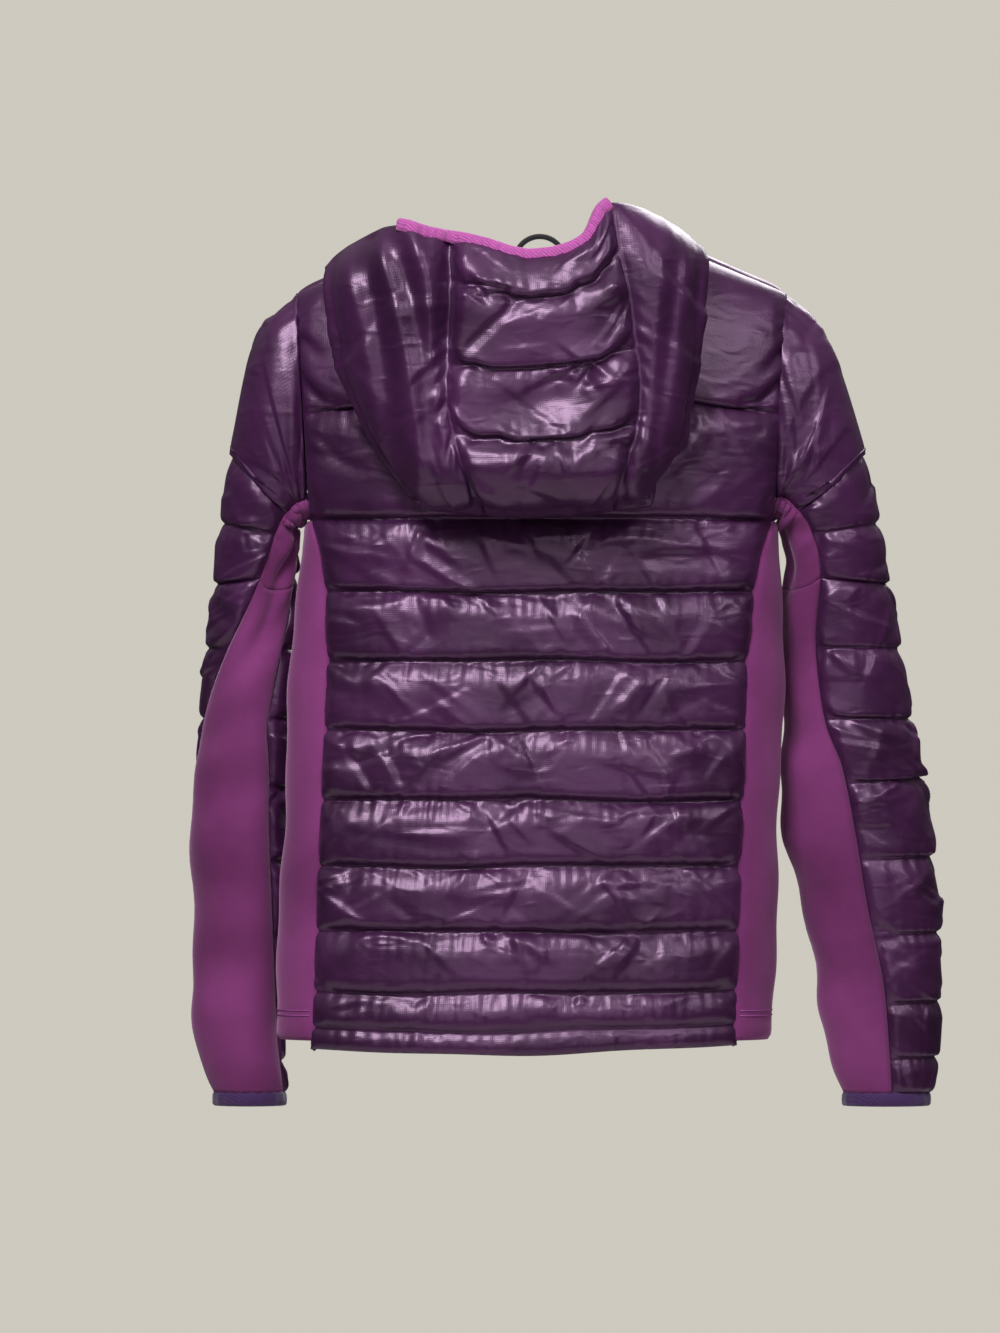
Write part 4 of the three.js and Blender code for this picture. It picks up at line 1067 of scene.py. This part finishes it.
def make_hood_binding(top):
    first = int(np.argmin(np.abs(top[:, 0] + 112)))
    last = int(np.argmin(np.abs(top[:, 0] - 55)))
    line = smooth_line(top[first:last + 1].copy(), 6)
    n = 150
    line, u = evenly(line, n)
    gather = 0.5 * np.sin(u * 0.9) + 0.35 * np.sin(u * 0.53 + 1)
    half = BINDING_WIDTH / 2
    # A folded band: down the outside, over the edge and down the inside.
    section = [(3.6, -half), (3.9, -half * 0.4), (3.7, half * 0.5), (2.4, half), (0, half + 0.7),
               (-4.5, half + 0.5),
               (-8.0, half * 0.5), (-8.6, -half * 0.4), (-8.2, -half), (-7.6, -half), (-7.7, -half * 0.3),
               (-7.0, half * 0.3), (-4, half - 0.7), (0, half - 0.5), (1.9, half - 0.6), (2.7, half * 0.3),
               (2.9, -half * 0.5), (2.8, -half)]
    tangent = np.gradient(line, axis=0)
    tangent /= np.linalg.norm(tangent, axis=1, keepdims=True)
    out = np.cross(np.array([0, 0, 1.0]), tangent)
    out = np.where(out[:, 1:2] > 0, -out, out)
    out /= np.linalg.norm(out, axis=1, keepdims=True)
    up = np.cross(out, tangent)
    up = np.where(up[:, 2:3] < 0, -up, up)
    swell = (gather * 0.6)[:, None]
    rings = np.array([line + out * (a + swell * (1 if a > 0 else -1)) + up * b for a, b in section])
    m = len(section)
    verts = rings.transpose(1, 0, 2)
    faces = []
    for i in range(n - 1):
        for k in range(m):
            q = (k + 1) % m
            faces.append([i * m + k, i * m + q, (i + 1) * m + q, (i + 1) * m + k])
    faces.append([k for k in reversed(range(m))])
    faces.append([(n - 1) * m + k for k in range(m)])
    piece = to_object("hood_binding_band", verts, faces, PINK)
    recalc(piece)
    keep(piece, "hood", "hood_edge_binding", slot="hood_binding")


def recalc(obj):
    """Turn a closed mesh's faces outwards."""
    bm = bmesh.new()
    bm.from_mesh(obj.data)
    bmesh.ops.recalc_face_normals(bm, faces=bm.faces)
    bm.to_mesh(obj.data)
    bm.free()


make_hood()


# ---------------------------------------------------------------- collar, zips, pocket bags, loop, label
COLLAR_HEIGHT, COLLAR_SIDE_HEIGHT, COLLAR_LEAN = 55, 16, 0.15
ZIP_EDGE = 9.15  # from the zip's centre line to the edge of the quilted panel
ZIP_PARTING = 22
COIL_PITCH = 2.1


def collar_point(x, share):
    z = top_z(FRONT, x)
    height = share * (COLLAR_HEIGHT + (COLLAR_SIDE_HEIGHT - COLLAR_HEIGHT) * (x / NECK) ** 2)
    return np.stack([x + drift(z), half_depth(x, z) + 0.35 - COLLAR_LEAN * height, z + height], -1)


def make_collar(hand, side):
    xs = side * np.linspace(30.75, 86, int(64 / COLLAR_SPACING))
    shares = np.linspace(0.12, 1, int(52 / COLLAR_SPACING))
    base = collar_point(xs[None] + 0 * shares[:, None], shares[:, None])
    rows, cols = lengths(base)
    pinned = np.zeros(base.shape[:2], bool)
    pinned[0] = pinned[-1] = pinned[:, 0] = pinned[:, -1] = True
    pinned[len(rows) // 2] = True
    shift = relax(rows, cols, pinned, slack=(0.015, 0.03), bend=0.3, pressure=0.06, rough=0.3, ceiling=3.2,
                  seed=81 + side, steps=50)
    shift = smooth(shift, pinned, 6)
    # The top edge rolls over instead of ending square.
    edge = np.minimum(rows[-1] - rows, 6)[:, None] / 6
    shift[..., 2] += 2.4 * np.sqrt(1 - (1 - edge) ** 2)
    outer = carry(refine(base, FINE), refine(shift, FINE), -side)
    keep(shell(f"collar_{hand}_quilted", outer, 4.6, SHELL, -side), "torso", f"collar_{hand}",
         slot="shell_fabric", padded=0.5)


def zip_line(side):
    """Edge of the front panel from the hem up, then of the collar."""
    base = quilted_body(FRONT, side)[0][:, 0]
    base = base[base[:, 2] > -641]
    up = collar_point(np.full(12, side * (ZIP_PARTING + ZIP_EDGE)), np.linspace(0.06, 0.88, 12))
    line = np.concatenate([base, up])
    return smooth_line(evenly(line, int(along(line)[-1] / COIL_PITCH))[0], 6)


def blocks(name, centres, half, material):
    """Small chamfered blocks, one at each centre."""
    corner = np.array([(-1, -0.6, -1), (1, -0.6, -1), (1, 0.6, -1), (-1, 0.6, -1),
                       (-0.8, -0.45, 1), (0.8, -0.45, 1), (0.8, 0.45, 1), (-0.8, 0.45, 1)])
    quads = np.array([(3, 2, 1, 0), (4, 5, 6, 7), (0, 1, 5, 4), (1, 2, 6, 5), (2, 3, 7, 6), (3, 0, 4, 7)])
    shape = corner[:, [0, 2, 1]] * np.array(half)
    verts = (centres[:, None] + shape[None]).reshape(-1, 3)
    faces = (quads[None, :, ::-1] + (np.arange(len(centres)) * 8)[:, None, None]).reshape(-1, 4)
    return to_object(name, verts, faces, material, smooth_faces=False)


def make_front_zip(hand, side):
    line = zip_line(side)
    offsets = np.linspace(-ZIP_EDGE + 3.4, 0.6, 5)
    tape = line[:, None] + np.array([side, 0, 0]) * offsets[None, :, None]
    tape[..., 1] += 0.2 + 0.25 * np.sin(offsets * 1.3)[None]
    keep(shell(f"front_zip_{hand}_woven", tape, 1.0, TAPE, -side), "torso", f"front_zip_{hand}_tape",
         slot="zip_tape")
    step = line[1:-1] + np.array([side * (1.9 - ZIP_EDGE), -0.2, 0.5 * side])
    keep(blocks(f"front_zip_{hand}_coil", step, (1.45, 1.0, 0.75), TEETH), "torso", f"front_zip_{hand}_teeth",
         slot="zip_tape")


def make_bag(hand, side):
    """Pocket bag: a thin double pouch hanging inside the front."""
    base = quilted_body(FRONT, side)[0]
    z = base[:, 0, 2]
    rows = np.where((z > -628) & (z < -394))[0]
    across = np.abs(base[0, :, 0] - drift(-640.0))
    cols = np.where((across > 50) & (across < 124))[0]
    grid = base[rows[0]:rows[-1] + 1, cols[0]:cols[-1] + 1]
    grid = grid - np.array([0, 1, 0]) * 11.2
    ny, nx = grid.shape[:2]
    u, v = np.meshgrid(np.linspace(0, np.pi, nx), np.linspace(0, np.pi, ny))
    wave = 1.3 * np.sin(u * 3.2 + v) * np.sin(v * 2.1 + 1)
    bulge = np.sqrt(np.sin(u).clip(0) * np.sin(v).clip(0))
    outer = grid.copy()
    outer[..., 1] += 0.4 * bulge
    inner = grid.copy()
    inner[..., 1] -= 0.8 + (2.4 + wave) * bulge
    keep(shell(f"pocket_bag_{hand}_cloth", outer, 1.0, LINING, -side, inner), "torso", f"pocket_bag_{hand}",
         slot="lining")


def make_loop():
    radius, cord, leg = 20.0, 2.2, 15.5
    turn = np.linspace(math.pi, 0, 40)
    spring = cord - radius
    arc = np.stack([radius * np.cos(turn), 0 * turn - MIDDLE_Y, radius * np.sin(turn) + spring], -1)
    left = np.stack([np.full(9, -radius), np.full(9, -MIDDLE_Y), spring + np.linspace(-leg, -1.5, 9)], -1)
    path = np.concatenate([left, arc, left[::-1] * np.array([-1, 1, 1])])
    keep(tube("hanging_loop_cord", path, cord, CORD, sides=14, up=(0, -1, 0)), "torso", "hanging_loop",
         slot="loop_cord")


def make_label():
    half_wide, high, top = 26.0, 20.0, -8.0
    x, z = np.meshgrid(np.linspace(-half_wide, half_wide, 27), np.linspace(top - high, top, 12))
    y = -MIDDLE_Y + 3.3 + 0.35 * np.sin(x * 0.17) * np.sin((z + 8) * 0.2)
    outer = np.stack([x, y, z], -1)
    keep(shell("neck_label_woven", outer, 0.9, LABEL), "torso", "neck_label", slot="label")
    ends = [(a, b, z0) for z0 in (top - 1.6, top - high + 1.6) for a, b in zip(np.arange(-24, 24, 3.0),
                                                                           np.arange(-22, 26, 3.0))]
    centres = np.array([((a + b) / 2, -MIDDLE_Y + 2.6, z0) for a, b, z0 in ends])
    keep(blocks("neck_label_stitches", centres, (1.0, 0.35, 0.3), THREAD), "torso", slot="label")


for HAND, SIDE in (("left", -1), ("right", 1)):
    make_collar(HAND, SIDE)
    make_front_zip(HAND, SIDE)
    make_bag(HAND, SIDE)
make_loop()
make_label()

# The zips' hard parts and the pocket tapes keep their CAD shape.
LEFT_AS_BUILT = {"slider": METAL, "pull": ENAMEL, "box": METAL, "tape": TAPE}
for piece in list(bpy.data.objects):
    kind = piece.name.rsplit("_", 1)[-1]
    if piece.type == "MESH" and "zip" in piece.name and kind in LEFT_AS_BUILT and not piece.hide_render:
        for k in range(len(piece.data.materials)):
            piece.data.materials[k] = LEFT_AS_BUILT[kind]
